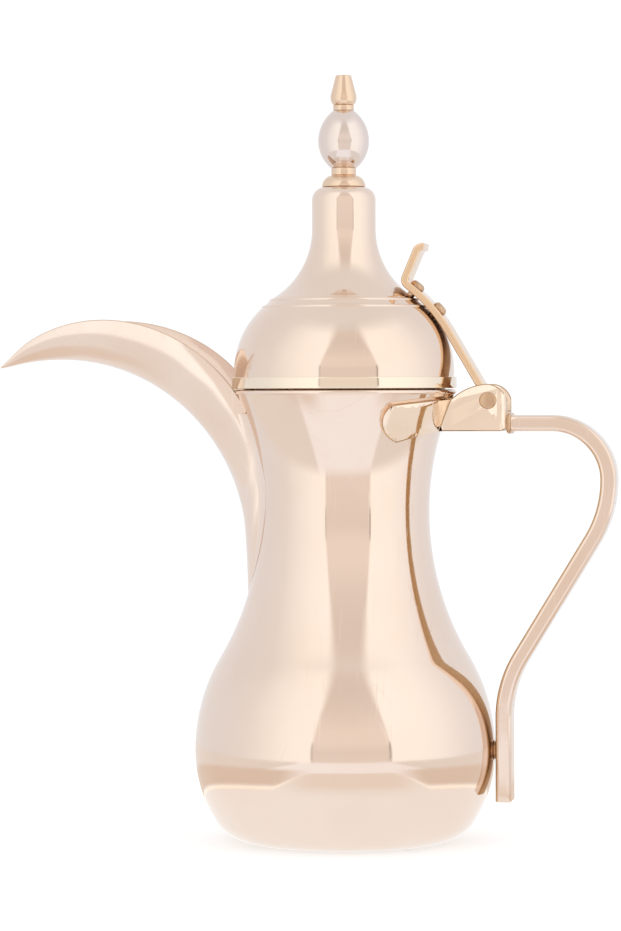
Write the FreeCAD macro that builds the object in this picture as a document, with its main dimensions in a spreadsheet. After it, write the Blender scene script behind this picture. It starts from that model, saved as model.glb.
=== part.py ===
import FreeCAD, Part
import math
import os
from types import SimpleNamespace

import Sketcher
from FreeCAD import Placement, Rotation, Vector

# Dallah coffee pot. Millimetres, +Z up, origin at the middle of the base on the pot axis.
# The spout points to -X and the handle to +X, so the pot is symmetric about the XZ plane.

SIZES = {
    # spun body; the pour opening runs from below the rim to below the waist
    "belly_radius": 59.0,
    "belly_height": 35.5,
    "waist_radius": 33.35,
    "waist_height": 128.8,
    "waist_arc": 111.3,
    "lower_arc": 52.0,
    "heel_radius": 16.0,
    "rim_height": 176.8,
    "rim_overhang": 1.03,
    "rim_bead": 1.0,
    "body_wall": 1.2,
    "base_radius": 30.0,
    "base_thickness": 1.5,
    "pour_top": 10.8,
    "pour_bottom": 16.8,
    "pour_half_top": 8.0,
    "pour_half_bottom": 4.0,
    "seam_gap": 0.05,
    # beak, its heights above the rim and its foot below the waist
    "spout_reach": 139.8,
    "spout_tip_height": 8.6,
    "spout_crest_reach": 94.0,
    "spout_crest_height": 27.4,
    "spout_keel_reach": 114.0,
    "spout_keel_height": 12.2,
    "spout_root_gap": 5.65,
    "spout_root_angle": 30.0,
    "spout_tip_angle": 111.0,
    "spout_foot_height": 36.8,
    "spout_half_mouth": 20.5,
    "spout_half_neck": 15.0,
    "spout_half_foot": 8.5,
    "spout_foot_sink": 1.2,
    "spout_wall": 1.2,
    # lid, each height from the one before it
    "lid_gap": 0.5,
    "lid_wall": 1.2,
    "band_height": 4.4,
    "band_thickness": 0.9,
    "dome_radius": 43.2,
    "dome_spring": 7.0,
    "dome_arc": 33.2,
    "ring_low": 23.9,
    "ring_high": 4.8,
    "ring_bead": 0.8,
    "ring_rise": 0.45,
    "bell_arc": 31.7,
    "bell_height": 27.0,
    "chimney_radius": 12.5,
    "shoulder_arc": 5.0,
    "lid_top": 16.2,
    "sleeve_depth": 6.5,
    "sleeve_wall": 1.0,
    "sleeve_clearance": 0.6,
    # hinge: the pin is measured from the side of the dome, the yoke from the pin, heights down from the rim
    "pin_reach": 14.6,
    "pin_height": 4.3,
    "pin_radius": 2.4,
    "pin_head_radius": 3.3,
    "pin_head_height": 1.2,
    "running_fit": 0.06,
    "washer_thickness": 0.6,
    "washer_radius": 4.2,
    "side_play": 0.08,
    "yoke_sheet": 1.8,
    "yoke_back": 7.5,
    "yoke_corner": 2.8,
    "yoke_bottom": 16.2,
    "yoke_arch": 8.0,
    "yoke_crown": 6.4,
    "yoke_crown_arc": 22.0,
    "yoke_shoulder_reach": 13.8,
    "yoke_shoulder_height": 3.4,
    "yoke_web_height": 7.6,
    "ear_tip_reach": 25.0,
    "ear_tip_top": 6.0,
    "ear_tip_bottom": 20.4,
    "ear_tip_arc": 8.0,
    "ear_root_bottom": 13.8,
    # strap on the lid
    "strap_width": 14.0,
    "strap_thickness": 2.8,
    "strap_corner": 0.6,
    "strap_clearance": 1.1,
    "strap_run": 31.562,
    "strap_top_lean": 142.0,
    "strap_top_reach": 3.0,
    "strap_end_run": 1.0,
    "strap_eye_radius": 4.8,
    "tab_bend": 2.6,
    "tab_turn": 75.0,
    "tab_run": 11.2,
    "tab_curl": 2.6,
    "tab_curl_turn": 80.0,
    "rivet_radius": 1.5,
    "rivet_head_radius": 3.0,
    "rivet_head_height": 2.3,
    "rivet_tail_radius": 2.3,
    "rivet_tail_height": 0.8,
    "rivet_first": 1.6,
    "rivet_first_grip": 5.7,
    "rivet_second": 13.0,
    "rivet_second_grip": 4.75,
    # handle bar, its top below the rim
    "handle_thickness": 6.2,
    "handle_width": 13.0,
    "handle_corner": 1.6,
    "handle_reach": 107.2,
    "handle_top": 13.2,
    "handle_top_bend": 22.0,
    "handle_back_bend": 45.0,
    "handle_foot_bend": 45.0,
    "handle_slope": 31.3,
    "handle_foot_height": 16.2,
    "foot_gap": 1.1,
    "foot_pad_radius": 4.0,
    "foot_pad_height": 36.0,
    # finial, stacked on the lid
    "flange_radius": 8.6,
    "flange_height": 4.6,
    "collar_radius": 4.9,
    "collar_height": 2.9,
    "bulb_radius": 10.0,
    "bulb_foot_radius": 5.1,
    "bulb_top_radius": 4.1,
    "bulb_low_height": 10.5,
    "bulb_high_height": 11.9,
    "ring_height": 2.1,
    "ring_radius": 4.1,
    "tip_radius": 5.1,
    "tip_foot_radius": 3.9,
    "tip_top_radius": 3.0,
    "tip_low_height": 2.8,
    "tip_high_height": 8.9,
    "stud_radius": 2.0,
    "stud_fit": 0.05,
    "stud_into_tip": 7.0,
    "nut_flat": 7.0,
    "nut_height": 3.2,
    "stud_tail": 1.6,
    "finial_washer_radius": 5.5,
    "finial_washer_height": 1.0,
}

doc = FreeCAD.newDocument("dallah")
sheet = doc.addObject("Spreadsheet::Sheet", "sizes")
for row, (alias, number) in enumerate(SIZES.items(), start=1):
    sheet.set(f"A{row}", str(number))
    sheet.setAlias(f"A{row}", alias)
doc.recompute()


class Dim:
    """A size in millimetres or degrees, with the sheet expression that it follows."""

    def __init__(self, value, text):
        self.value = value
        self.text = text

    def __add__(self, other):
        other = as_dim(other)
        return Dim(self.value + other.value, f"({self.text} + {other.text})")

    def __sub__(self, other):
        other = as_dim(other)
        return Dim(self.value - other.value, f"({self.text} - {other.text})")

    def __mul__(self, other):
        other = as_dim(other)
        return Dim(self.value * other.value, f"({self.text} * {other.text})")

    def __truediv__(self, other):
        other = as_dim(other)
        return Dim(self.value / other.value, f"({self.text} / {other.text})")

    def __neg__(self):
        return self * -1

    def __radd__(self, other):
        return as_dim(other) + self

    def __rsub__(self, other):
        return as_dim(other) - self

    def __rmul__(self, other):
        return as_dim(other) * self


def as_dim(number):
    return number if isinstance(number, Dim) else Dim(float(number), f"({float(number)})")


def root(dim):
    return Dim(math.sqrt(dim.value), f"sqrt({dim.text})")


def sine(dim):
    return Dim(math.sin(math.radians(dim.value)), f"sin({dim.text})")


def cosine(dim):
    return Dim(math.cos(math.radians(dim.value)), f"cos({dim.text})")


def heading(run, rise):
    return Dim(math.degrees(math.atan2(rise.value, run.value)), f"(atan2({rise.text}; {run.text}) / 1 deg)")


def chord_radius(rise, run):
    """Radius of the arc that starts square to a line and reaches (run, rise)."""
    return (rise * rise + run * run) / (2 * rise)


size = SimpleNamespace(**{name: Dim(float(sheet.get(name)), f"sizes.{name}") for name in SIZES})
ZERO = as_dim(0)

# Heights and reaches that follow from their neighbours
neck_rise = size.rim_height - size.waist_height
neck_flare = size.dome_radius + size.rim_overhang - size.waist_radius
neck_arc = chord_radius(neck_flare, neck_rise)
pour_top = size.rim_height - size.pour_top
pin_height = size.rim_height - size.pin_height
yoke_bottom = size.rim_height - size.yoke_bottom
yoke_shoulder_height = size.rim_height - size.yoke_shoulder_height
ear_tip_top = size.rim_height - size.ear_tip_top
ear_tip_bottom = size.rim_height - size.ear_tip_bottom
ear_root_bottom = size.rim_height - size.ear_root_bottom
handle_top = size.rim_height - size.handle_top
spout_tip_height = size.rim_height + size.spout_tip_height
spout_crest_height = size.rim_height + size.spout_crest_height
spout_keel_height = size.rim_height + size.spout_keel_height
pour_bottom = size.waist_height - size.pour_bottom
spout_foot_height = size.waist_height - size.spout_foot_height
lid_base = size.rim_height + size.lid_gap
dome_spring = lid_base + size.dome_spring
ring_low = dome_spring + size.ring_low
ring_high = ring_low + size.ring_high
bell_height = ring_high + size.bell_height
lid_top = bell_height + size.lid_top
pin_reach = size.dome_radius + size.pin_reach
yoke_back = pin_reach + size.yoke_back
shoulder_reach = pin_reach - size.yoke_shoulder_reach
keel_arc = size.spout_keel_reach - size.waist_radius - size.spout_root_gap


# Sketch and feature helpers
def new_body(label):
    body = doc.addObject("PartDesign::Body", label)
    body.Label = label
    return body


def new_sketch(body, role="XZ_Plane"):
    sketch = body.newObject("Sketcher::SketchObject", f"{body.Name}_sketch")
    plane = next(item for item in body.Origin.OriginFeatures if item.Role == role)
    sketch.AttachmentSupport = [(plane, "")]
    sketch.MapMode = "FlatFace"
    return sketch


def bind(sketch, dim, *constraint):
    index = sketch.addConstraint(Sketcher.Constraint(*constraint))
    name = f"size_{index}"
    sketch.renameConstraint(index, name)
    sketch.setExpression(f"Constraints.{name}", dim.text)


def pin_point(sketch, edge, end, x, y):
    bind(sketch, x, "DistanceX", -1, 1, edge, end, x.value)
    bind(sketch, y, "DistanceY", -1, 1, edge, end, y.value)


def arc_between(start, stop, bend):
    """The short arc from start to stop; a positive bend has its centre to the left of travel."""
    chord = stop - start
    left = Vector(-chord.y, chord.x, 0).normalize()
    reach = math.sqrt(max(bend * bend - chord.Length ** 2 / 4, 0))
    centre = (start + stop) * 0.5 + left * math.copysign(reach, bend)
    first, last = (start, stop) if bend > 0 else (stop, start)
    angles = [math.atan2(point.y - centre.y, point.x - centre.x) for point in (first, last)]
    if angles[1] < angles[0]:
        angles[1] += 2 * math.pi
    return Part.ArcOfCircle(Part.Circle(centre, Vector(0, 0, 1), abs(bend)), *angles)


def outline(sketch, corners):
    """A closed outline of corners (x, y); (x, y, bend) leaves that corner along an arc."""
    edges = []
    points = [Vector(corner[0].value, corner[1].value, 0) for corner in corners]
    for index, corner in enumerate(corners):
        start, stop = points[index], points[(index + 1) % len(points)]
        if len(corner) == 2:
            edges.append((sketch.addGeometry(Part.LineSegment(start, stop), False), 1, 2))
            continue
        bend = corner[2]
        edge = sketch.addGeometry(arc_between(start, stop, bend.value), False)
        edges.append((edge, 1, 2) if bend.value > 0 else (edge, 2, 1))
    for index, (edge, first, last) in enumerate(edges):
        after = edges[(index + 1) % len(edges)]
        sketch.addConstraint(Sketcher.Constraint("Coincident", edge, last, after[0], after[1]))
        pin_point(sketch, edge, first, corners[index][0], corners[index][1])
        if len(corners[index]) == 3:
            bend = corners[index][2]
            bend = bend if bend.value > 0 else -bend
            bind(sketch, bend, "Radius", edge, bend.value)
    return sketch


def circle(sketch, x, y, radius):
    ring = Part.Circle(Vector(x.value, y.value, 0), Vector(0, 0, 1), radius.value)
    edge = sketch.addGeometry(ring, False)
    pin_point(sketch, edge, 3, x, y)
    bind(sketch, radius, "Radius", edge, radius.value)
    return sketch


def rounded_bar(sketch, x, y, width, height, corner):
    """A rectangle with rounded corners, centred on (x, y)."""
    left, right = x - width / 2, x + width / 2
    low, high = y - height / 2, y + height / 2
    return outline(sketch, [
        (left + corner, low),
        (right - corner, low, corner),
        (right, low + corner),
        (right, high - corner, corner),
        (right - corner, high),
        (left + corner, high, corner),
        (left, high - corner),
        (left, low + corner, corner),
    ])


def bent_path(sketch, x, y, steps):
    """A smooth path that sets off along +X: (length,) is a straight, (radius, turn) a bend."""
    here, heading = Vector(x.value, y.value, 0), 0.0
    before = None
    for step in steps:
        along = Vector(math.cos(heading), math.sin(heading), 0)
        if len(step) == 1:
            target = here + along * step[0].value
            edge = sketch.addGeometry(Part.LineSegment(here, target), False)
            first, last = 1, 2
            bind(sketch, step[0], "Distance", edge, step[0].value)
        else:
            radius, turn = step
            side = math.copysign(1, turn.value)
            centre = here + Vector(-along.y, along.x, 0) * radius.value * side
            heading += math.radians(turn.value)
            target = centre + Vector(math.sin(heading), -math.cos(heading), 0) * radius.value * side
            edge = sketch.addGeometry(arc_between(here, target, radius.value * side), False)
            first, last = (1, 2) if side > 0 else (2, 1)
            bind(sketch, radius, "Radius", edge, radius.value)
            bind(sketch, turn * side, "Angle", edge, math.radians(abs(turn.value)))
        if before is None:
            pin_point(sketch, edge, first, x, y)
            sketch.addConstraint(Sketcher.Constraint("Horizontal", edge))
        else:
            sketch.addConstraint(Sketcher.Constraint("Tangent", *before, edge, first))
        before, here = (edge, last), target
    return sketch


def spin(body, sketch):
    turn = body.newObject("PartDesign::Revolution", f"{body.Name}_spin")
    turn.Profile = sketch
    turn.ReferenceAxis = (sketch, ["V_Axis"])
    turn.Angle = 360
    return turn


def spun_body(label, corners):
    body = new_body(label)
    spin(body, outline(new_sketch(body), corners))
    return body


def pad(body, sketch, length, side="Symmetric", kind="PartDesign::Pad"):
    feature = body.newObject(kind, f"{body.Name}_pad")
    feature.Profile = sketch
    feature.SideType = side
    feature.setExpression("Length", length.text)
    return feature


def sweep(body, profile, path):
    pipe = body.newObject("PartDesign::AdditivePipe", f"{body.Name}_pipe")
    pipe.Profile = profile
    pipe.Spine = path
    return pipe


def place(item, x=ZERO, y=ZERO, z=ZERO, axis=Vector(0, 1, 0), turn=ZERO):
    item.Placement = Placement(Vector(x.value, y.value, z.value), Rotation(axis, turn.value))
    for name, dim in (("Base.x", x), ("Base.y", y), ("Base.z", z), ("Rotation.Angle", turn)):
        if dim is not ZERO:
            item.setExpression(f"Placement.{name}", dim.text)
    return item


def solid_of(kind, label, **lengths):
    item = doc.addObject(kind, label)
    item.Label = label
    for name, dim in lengths.items():
        item.setExpression(name, dim.text)
    return item


def combine(kind, label, base, tool):
    item = doc.addObject(kind, label)
    item.Label = label
    item.Base, item.Tool = base, tool
    return item


def group(kind, label, items):
    item = doc.addObject(kind, label)
    item.Label = label
    setattr(item, "Links" if kind == "Part::Compound" else "Shapes", items)
    return item


# Body profile: heel, lower belly, upper belly and waist arcs meet smoothly
narrowing = size.belly_radius - size.waist_radius
belly_to_waist = size.waist_height - size.belly_height
arc_sum = chord_radius(narrowing, belly_to_waist)
belly_arc = arc_sum - size.waist_arc
belly_centre = (size.belly_radius - belly_arc, size.belly_height)
waist_centre = (size.waist_radius + size.waist_arc, size.waist_height)
waist_way = [(far - near) / arc_sum for near, far in zip(belly_centre, waist_centre)]
lower_centre = (size.belly_radius - size.lower_arc, size.belly_height)
heel_drop = size.belly_height - size.heel_radius
heel_link = size.lower_arc - size.heel_radius
heel_centre = (lower_centre[0] + root(heel_link * heel_link - heel_drop * heel_drop), size.heel_radius)
heel_way = [(far - near) / heel_link for near, far in zip(lower_centre, heel_centre)]


def on_arc(centre, way, arc):
    """Point at a direction and distance from a centre."""
    return tuple(near + arc * part for near, part in zip(centre, way))


def neck_radius(height, depth=ZERO):
    """Radius of the neck at a height, at a depth below the outer face."""
    arc = neck_arc if height.value > size.waist_height.value else size.waist_arc
    reach, rise = arc + depth, height - size.waist_height
    return size.waist_radius + arc - root(reach * reach - rise * rise)


def body_skin(depth):
    """Body outline from the base up to the rim, at a depth below the outer face."""
    return [
        (heel_centre[0], depth, size.heel_radius - depth),
        (*on_arc(lower_centre, heel_way, size.lower_arc - depth), size.lower_arc - depth),
        (size.belly_radius - depth, size.belly_height, belly_arc - depth),
        (*on_arc(belly_centre, waist_way, belly_arc - depth), -(size.waist_arc + depth)),
        (size.waist_radius - depth, size.waist_height, -(neck_arc + depth)),
        (neck_radius(size.rim_height, depth), size.rim_height),
    ]


def travel_back(corners):
    """The same corners the other way round, each bend moved to the corner it now leaves."""
    points = [corner[:2] for corner in reversed(corners)]
    bends = [corner[2:] for corner in reversed(corners[:-1])]
    return [(*point, *(-bend for bend in bent)) for point, bent in zip(points, bends + [()])]


def add_rim_bead(body):
    middle = size.body_wall / 2
    height = size.rim_height - size.rim_bead
    spin(body, circle(new_sketch(body), neck_radius(height, middle), height, size.rim_bead))


# Body shell
outer_skin = body_skin(ZERO)
inner_skin = travel_back(body_skin(size.body_wall))
body_shell = spun_body("body_shell", [
    (size.base_radius, ZERO),
    *outer_skin,
    *inner_skin,
    (size.base_radius, size.body_wall),
])
add_rim_bead(body_shell)
doc.recompute()
before_pour = body_shell.Shape.Volume
pour_sketch = outline(new_sketch(body_shell, "YZ_Plane"), [
    (-size.pour_half_bottom, pour_bottom, 1.25 * size.pour_half_bottom),
    (size.pour_half_bottom, pour_bottom),
    (size.pour_half_top, pour_top, 1.25 * size.pour_half_top),
    (-size.pour_half_top, pour_top),
])
pour = pad(body_shell, pour_sketch, size.belly_radius, "One side", "PartDesign::Pocket")

# Whole outside of the body, used to shape what is soldered to it
envelope = spun_body("body_outside", [
    (ZERO, ZERO),
    *outer_skin,
    (ZERO, size.rim_height),
])
add_rim_bead(envelope)

# Base plate
base_plate = new_body("base_plate")
base_round = circle(new_sketch(base_plate, "XY_Plane"), ZERO, ZERO, size.base_radius - size.seam_gap)
pad(base_plate, base_round, size.base_thickness, "One side")


# Spout: U sections that fan from the neck to the tip between a keel and an upper edge
def keel_point(angle):
    """Keel in the XZ plane: an arc up to the level stretch, then a slow fall to the tip."""
    arc = keel_arc.value
    low = spout_keel_height.value - arc
    reach = size.spout_keel_reach.value
    if angle <= 90:
        turn = math.radians(angle)
        return Vector(arc * math.cos(turn) - reach, 0, low + arc * math.sin(turn))
    share = (angle - 90) / (size.spout_tip_angle.value - 90)
    fall = spout_keel_height.value - spout_tip_height.value
    return Vector(-reach - share * (size.spout_reach.value - reach), 0, low + arc - fall * share ** 2)


def edge_point(angle):
    """Upper edge in the XZ plane, an arc through the crest and the tip."""
    over = size.spout_reach.value - size.spout_crest_reach.value
    fall = spout_crest_height.value - spout_tip_height.value
    arc = (over ** 2 + fall ** 2) / (2 * fall)
    low = spout_crest_height.value - arc
    tip_turn = 90 + math.degrees(math.asin(over / arc))
    rim_turn = math.degrees(math.asin((size.rim_height.value - low) / arc))
    root_angle = size.spout_root_angle.value
    share = (angle - root_angle) / (size.spout_tip_angle.value - root_angle)
    turn = math.radians(rim_turn + share * (tip_turn - rim_turn))
    return Vector(arc * math.cos(turn) - size.spout_crest_reach.value, 0, low + arc * math.sin(turn))


def spout_half_width(angle):
    """Widest a little outside the rim, narrower down the neck, pointed at the tip."""
    wide, neck = size.spout_half_mouth.value, size.spout_half_neck.value
    widest = 1.5 * size.spout_root_angle.value
    if angle > widest:
        return wide * (1 - ((angle - widest) / (size.spout_tip_angle.value - widest)) ** 2)
    share = max(angle, 0) / widest
    return neck + (wide - neck) * share * share * (3 - 2 * share)


def u_curve(bottom, top, half, count=9):
    """Half an ellipse across the trough, from one upper edge through the keel to the other."""
    points = []
    for step in range(count):
        turn = math.radians(180 * step / (count - 1) - 90)
        side = Vector(0, half * math.sin(turn), 0)
        points.append(top + (bottom - top) * math.cos(turn) + side)
    curve = Part.BSplineCurve()
    curve.interpolate(points)
    return curve.toShape()


def u_section(bottom, top, half, wall):
    up = (top - bottom).normalize()
    outer = u_curve(bottom, top, half)
    inner = u_curve(bottom + up * wall, top, half - wall)
    lips = [Part.makeLine(outer.Vertexes[end].Point, inner.Vertexes[end].Point) for end in (0, 1)]
    return Part.Wire([outer, lips[1], inner, lips[0]])


def spout_sections():
    wall = size.spout_wall.value
    foot = spout_foot_height.value
    foot_radius = neck_radius(spout_foot_height).value
    half_foot = size.spout_half_foot.value
    foot_bottom = Vector(size.spout_foot_sink.value - foot_radius, 0, foot)
    yield u_section(foot_bottom, foot_bottom + Vector(half_foot, 0, half_foot / 2), half_foot, wall)
    last = size.spout_tip_angle.value - 0.8
    steps = 9
    for step in range(steps + 1):
        angle = last * step / steps
        half = spout_half_width(angle)
        bottom, top = keel_point(angle), edge_point(angle)
        yield u_section(bottom, top, half, min(wall, 0.45 * half, 0.45 * (top - bottom).Length))


trough = doc.addObject("Part::Feature", "spout_trough")
trough.Shape = Part.makeLoft(list(spout_sections()), True, False)
spout = combine("Part::Cut", "spout", trough, envelope)

# Hinge yoke: ears round the neck, cheeks and a back web, all from one bent strip
half_gap = size.strap_width / 2 + size.washer_thickness + size.side_play
half_yoke = half_gap + size.yoke_sheet
ear_low, ear_high = ear_tip_bottom - 2, yoke_shoulder_height + 1
sheet_arc = neck_arc - size.yoke_sheet
ear_ring = spun_body("ear_ring", [
    (neck_radius(ear_low), ear_low),
    (neck_radius(ear_low, -size.yoke_sheet), ear_low, -sheet_arc),
    (neck_radius(ear_high, -size.yoke_sheet), ear_high),
    (neck_radius(ear_high), ear_high, neck_arc),
])
ear_root = shoulder_reach + size.yoke_sheet
ear_blank = new_body("ear_blank")
pad(ear_blank, outline(new_sketch(ear_blank), [
    (size.ear_tip_reach, ear_tip_top, size.ear_tip_arc),
    (size.ear_tip_reach, ear_tip_bottom),
    (ear_root, ear_root_bottom),
    (ear_root, yoke_shoulder_height),
]), 2 * size.belly_radius)
between = place(
    solid_of("Part::Box", "between_cheeks", Length=size.belly_radius, Width=2 * half_gap, Height=size.rim_height),
    y=-half_gap)
ears = combine("Part::Cut", "ears", combine("Part::Common", "ear_band", ear_ring, ear_blank), between)

channel = new_body("yoke_channel")
inner_corner = size.yoke_corner - size.yoke_sheet
inner_back = yoke_back - size.yoke_sheet
pad(channel, outline(new_sketch(channel, "XY_Plane"), [
    (size.waist_radius, -half_yoke),
    (yoke_back - size.yoke_corner, -half_yoke, size.yoke_corner),
    (yoke_back, size.yoke_corner - half_yoke),
    (yoke_back, half_yoke - size.yoke_corner, size.yoke_corner),
    (yoke_back - size.yoke_corner, half_yoke),
    (size.waist_radius, half_yoke),
    (size.waist_radius, half_gap),
    (inner_back - inner_corner, half_gap, -inner_corner),
    (inner_back, half_gap - inner_corner),
    (inner_back, inner_corner - half_gap, -inner_corner),
    (inner_back - inner_corner, -half_gap),
    (size.waist_radius, -half_gap),
]), lid_top, "One side")
crown = pin_height + size.yoke_crown
arch = new_body("yoke_arch")
pad(arch, outline(new_sketch(arch), [
    (size.waist_radius, yoke_bottom),
    (yoke_back - size.yoke_corner, yoke_bottom, size.yoke_corner),
    (yoke_back, yoke_bottom + size.yoke_corner),
    (yoke_back, crown - size.yoke_arch, size.yoke_arch),
    (yoke_back - size.yoke_arch, crown, size.yoke_crown_arc),
    (shoulder_reach, yoke_shoulder_height),
    (size.waist_radius, yoke_shoulder_height),
]), 2 * size.belly_radius)
pin_hole = place(
    solid_of("Part::Cylinder", "pin_hole", Radius=size.pin_radius + size.running_fit, Height=2 * size.belly_radius),
    pin_reach, -size.belly_radius, pin_height, Vector(1, 0, 0), as_dim(-90))
over_web = place(
    solid_of("Part::Box", "over_web", Length=size.belly_radius, Width=2 * half_gap, Height=size.belly_radius),
    inner_back - size.yoke_corner, -half_gap, yoke_bottom + size.yoke_web_height)
away = group("Part::MultiFuse", "yoke_cuts", [envelope, pin_hole, over_web])
cheeks = combine("Part::Cut", "cheeks", combine("Part::Common", "bent_channel", channel, arch), away)
yoke = combine("Part::Fuse", "hinge_yoke", ears, cheeks)

# Hinge pin and its washers, turned on Z and laid along Y
head_span = half_yoke + size.pin_head_height
pin = spun_body("hinge_pin", [
    (ZERO, -head_span),
    (size.pin_head_radius, -head_span),
    (size.pin_head_radius, -half_yoke),
    (size.pin_radius, -half_yoke),
    (size.pin_radius, half_yoke),
    (size.pin_head_radius, half_yoke),
    (size.pin_head_radius, head_span),
    (ZERO, head_span),
])
place(pin, pin_reach, ZERO, pin_height, Vector(1, 0, 0), as_dim(-90))


def hinge_washer(label, low):
    washer = spun_body(label, [
        (size.pin_radius + size.running_fit, low),
        (size.washer_radius, low),
        (size.washer_radius, low + size.washer_thickness),
        (size.pin_radius + size.running_fit, low + size.washer_thickness),
    ])
    return place(washer, pin_reach, ZERO, pin_height, Vector(1, 0, 0), as_dim(-90))


washer_low = half_gap - size.washer_thickness
washers = group("Part::Compound", "hinge_washers", [
    hinge_washer("washer_far", washer_low),
    hinge_washer("washer_near", -half_gap),
])

# Handle: one flat bar bent in the XZ plane, from the yoke web down to the belly
slope_sine, slope_cosine = sine(size.handle_slope), cosine(size.handle_slope)
bar_start = yoke_back + size.seam_gap
bar_reach = size.handle_reach - size.handle_thickness / 2
foot_reach = size.belly_radius + size.foot_gap + size.handle_thickness / 2
top_run = bar_reach - size.handle_top_bend - bar_start
bends = size.handle_back_bend + size.handle_foot_bend
slope_run = (bar_reach - foot_reach - bends * (1 - slope_cosine)) / slope_sine
foot_top = handle_top - size.handle_top_bend - bends * slope_sine - slope_run * slope_cosine
handle = new_body("handle")
bar_section = new_sketch(handle, "YZ_Plane")
bar_section.AttachmentOffset = Placement(Vector(0, 0, bar_start.value), Rotation())
bar_section.setExpression("AttachmentOffset.Base.z", bar_start.text)
rounded_bar(bar_section, ZERO, handle_top, size.handle_width, size.handle_thickness, size.handle_corner)
sweep(handle, bar_section, bent_path(new_sketch(handle), bar_start, handle_top, [
    (top_run,),
    (size.handle_top_bend, as_dim(-90)),
    (size.handle_back_bend, -size.handle_slope),
    (slope_run,),
    (size.handle_foot_bend, size.handle_slope),
    (foot_top - size.handle_foot_height,),
]))

# Braze pad between the belly and the foot of the handle
pad_bar = place(
    solid_of("Part::Cylinder", "pad_bar", Radius=size.foot_pad_radius, Height=2 * size.foot_gap),
    size.belly_radius - size.foot_gap, ZERO, size.foot_pad_height, turn=as_dim(90))
foot_pad = combine("Part::Cut", "handle_foot_pad", pad_bar, envelope)

# Lid: a spun dome, and a ringed bell with its chimney brazed on top
dome_centre = (size.dome_radius - size.dome_arc, dome_spring)
bell_centre = (size.chimney_radius + size.bell_arc, bell_height)


def toward(centre, arc, height):
    """Unit direction from an arc centre to its point at a height, on the axis side if arc < 0."""
    rise = height - centre[1]
    return (root(arc * arc - rise * rise) / arc, rise / (arc if arc.value > 0 else -arc))


dome_way = toward(dome_centre, size.dome_arc, ring_low)
bell_way = toward(bell_centre, -size.bell_arc, ring_high)


def dome_skin(depth):
    """Dome outline from the lid edge up to the seam, at a depth below the outer face."""
    return [
        (size.dome_radius - depth, lid_base),
        (size.dome_radius - depth, dome_spring, size.dome_arc - depth),
        on_arc(dome_centre, dome_way, size.dome_arc - depth),
    ]


def bell_skin(depth):
    """Ringed cone, bell and chimney from the seam up to the top, at a depth below the outer face."""
    return [
        on_arc(dome_centre, dome_way, size.dome_arc - depth),
        (*on_arc(bell_centre, bell_way, size.bell_arc + depth), -(size.bell_arc + depth)),
        (size.chimney_radius - depth, bell_height),
        (size.chimney_radius - depth, lid_top - size.shoulder_arc, size.shoulder_arc - depth),
        (size.chimney_radius - size.shoulder_arc, lid_top - depth),
    ]


stud_hole = size.stud_radius + size.stud_fit
dome_spun = spun_body("dome_spun", [
    *dome_skin(ZERO),
    *travel_back(dome_skin(size.lid_wall)),
])
bell_spun = spun_body("bell_spun", [
    *bell_skin(ZERO),
    (stud_hole, lid_top),
    (stud_hole, lid_top - size.lid_wall),
    *travel_back(bell_skin(size.lid_wall)),
])
ring_start = on_arc(dome_centre, dome_way, size.dome_arc)
ring_stop = on_arc(bell_centre, bell_way, size.bell_arc)
ring_across = ring_start[0] - ring_stop[0]
ring_climb = ring_stop[1] - ring_start[1]
ring_length = root(ring_across * ring_across + ring_climb * ring_climb)
ring_sink = size.ring_bead - size.ring_rise
for share in (0.22, 0.78):
    across = ring_start[0] - share * ring_across - ring_sink * ring_climb / ring_length
    height = ring_start[1] + share * ring_climb - ring_sink * ring_across / ring_length
    spin(bell_spun, circle(new_sketch(bell_spun), across, height, size.ring_bead))

# Band round the lid edge and the sleeve that drops into the mouth
band_inside = size.dome_radius + size.seam_gap
lid_band = spun_body("lid_band", [
    (band_inside, lid_base),
    (band_inside + size.band_thickness, lid_base),
    (band_inside + size.band_thickness, lid_base + size.band_height),
    (band_inside, lid_base + size.band_height),
])
sleeve_foot = lid_base - size.sleeve_depth
sleeve_radius = neck_radius(sleeve_foot, size.body_wall) - size.sleeve_clearance
sleeve_edge = size.dome_radius - size.lid_wall - size.seam_gap
lid_sleeve = spun_body("lid_sleeve", [
    (sleeve_radius - size.sleeve_wall, sleeve_foot),
    (sleeve_radius, sleeve_foot),
    (sleeve_radius, lid_base),
    (sleeve_edge, lid_base),
    (sleeve_edge, lid_base + size.sleeve_wall),
    (sleeve_radius - size.sleeve_wall, lid_base + size.sleeve_wall),
])

# Strap: straight from the pin, then an arc over the ringed cone, then the thumb tab
top_way = (cosine(size.strap_top_lean), sine(size.strap_top_lean))
strap_lift = size.strap_clearance + size.strap_thickness / 2
strap_end = (
    ring_stop[0] + strap_lift * top_way[1] + size.strap_top_reach * top_way[0],
    ring_stop[1] - strap_lift * top_way[0] + size.strap_top_reach * top_way[1],
)
span = (strap_end[0] - pin_reach, strap_end[1] - pin_height)
along = span[0] * top_way[0] + span[1] * top_way[1]
past_corner = (span[0] * span[0] + span[1] * span[1] - size.strap_run * size.strap_run) / (2 * (size.strap_run + along))
strap_lean = heading(span[0] - past_corner * top_way[0], span[1] - past_corner * top_way[1])
strap_turn = size.strap_top_lean - strap_lean
strap_arc = past_corner * cosine(strap_turn / 2) / sine(strap_turn / 2)
strap_body = new_body("strap_bar")
strap_section = new_sketch(strap_body, "YZ_Plane")
rounded_bar(strap_section, ZERO, ZERO, size.strap_width, size.strap_thickness, size.strap_corner)
sweep(strap_body, strap_section, bent_path(new_sketch(strap_body), ZERO, ZERO, [
    (size.strap_run,),
    (strap_arc, strap_turn),
    (size.strap_end_run,),
    (size.tab_bend, -size.tab_turn),
    (size.tab_run,),
    (size.tab_curl, -size.tab_curl_turn),
]))
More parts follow.
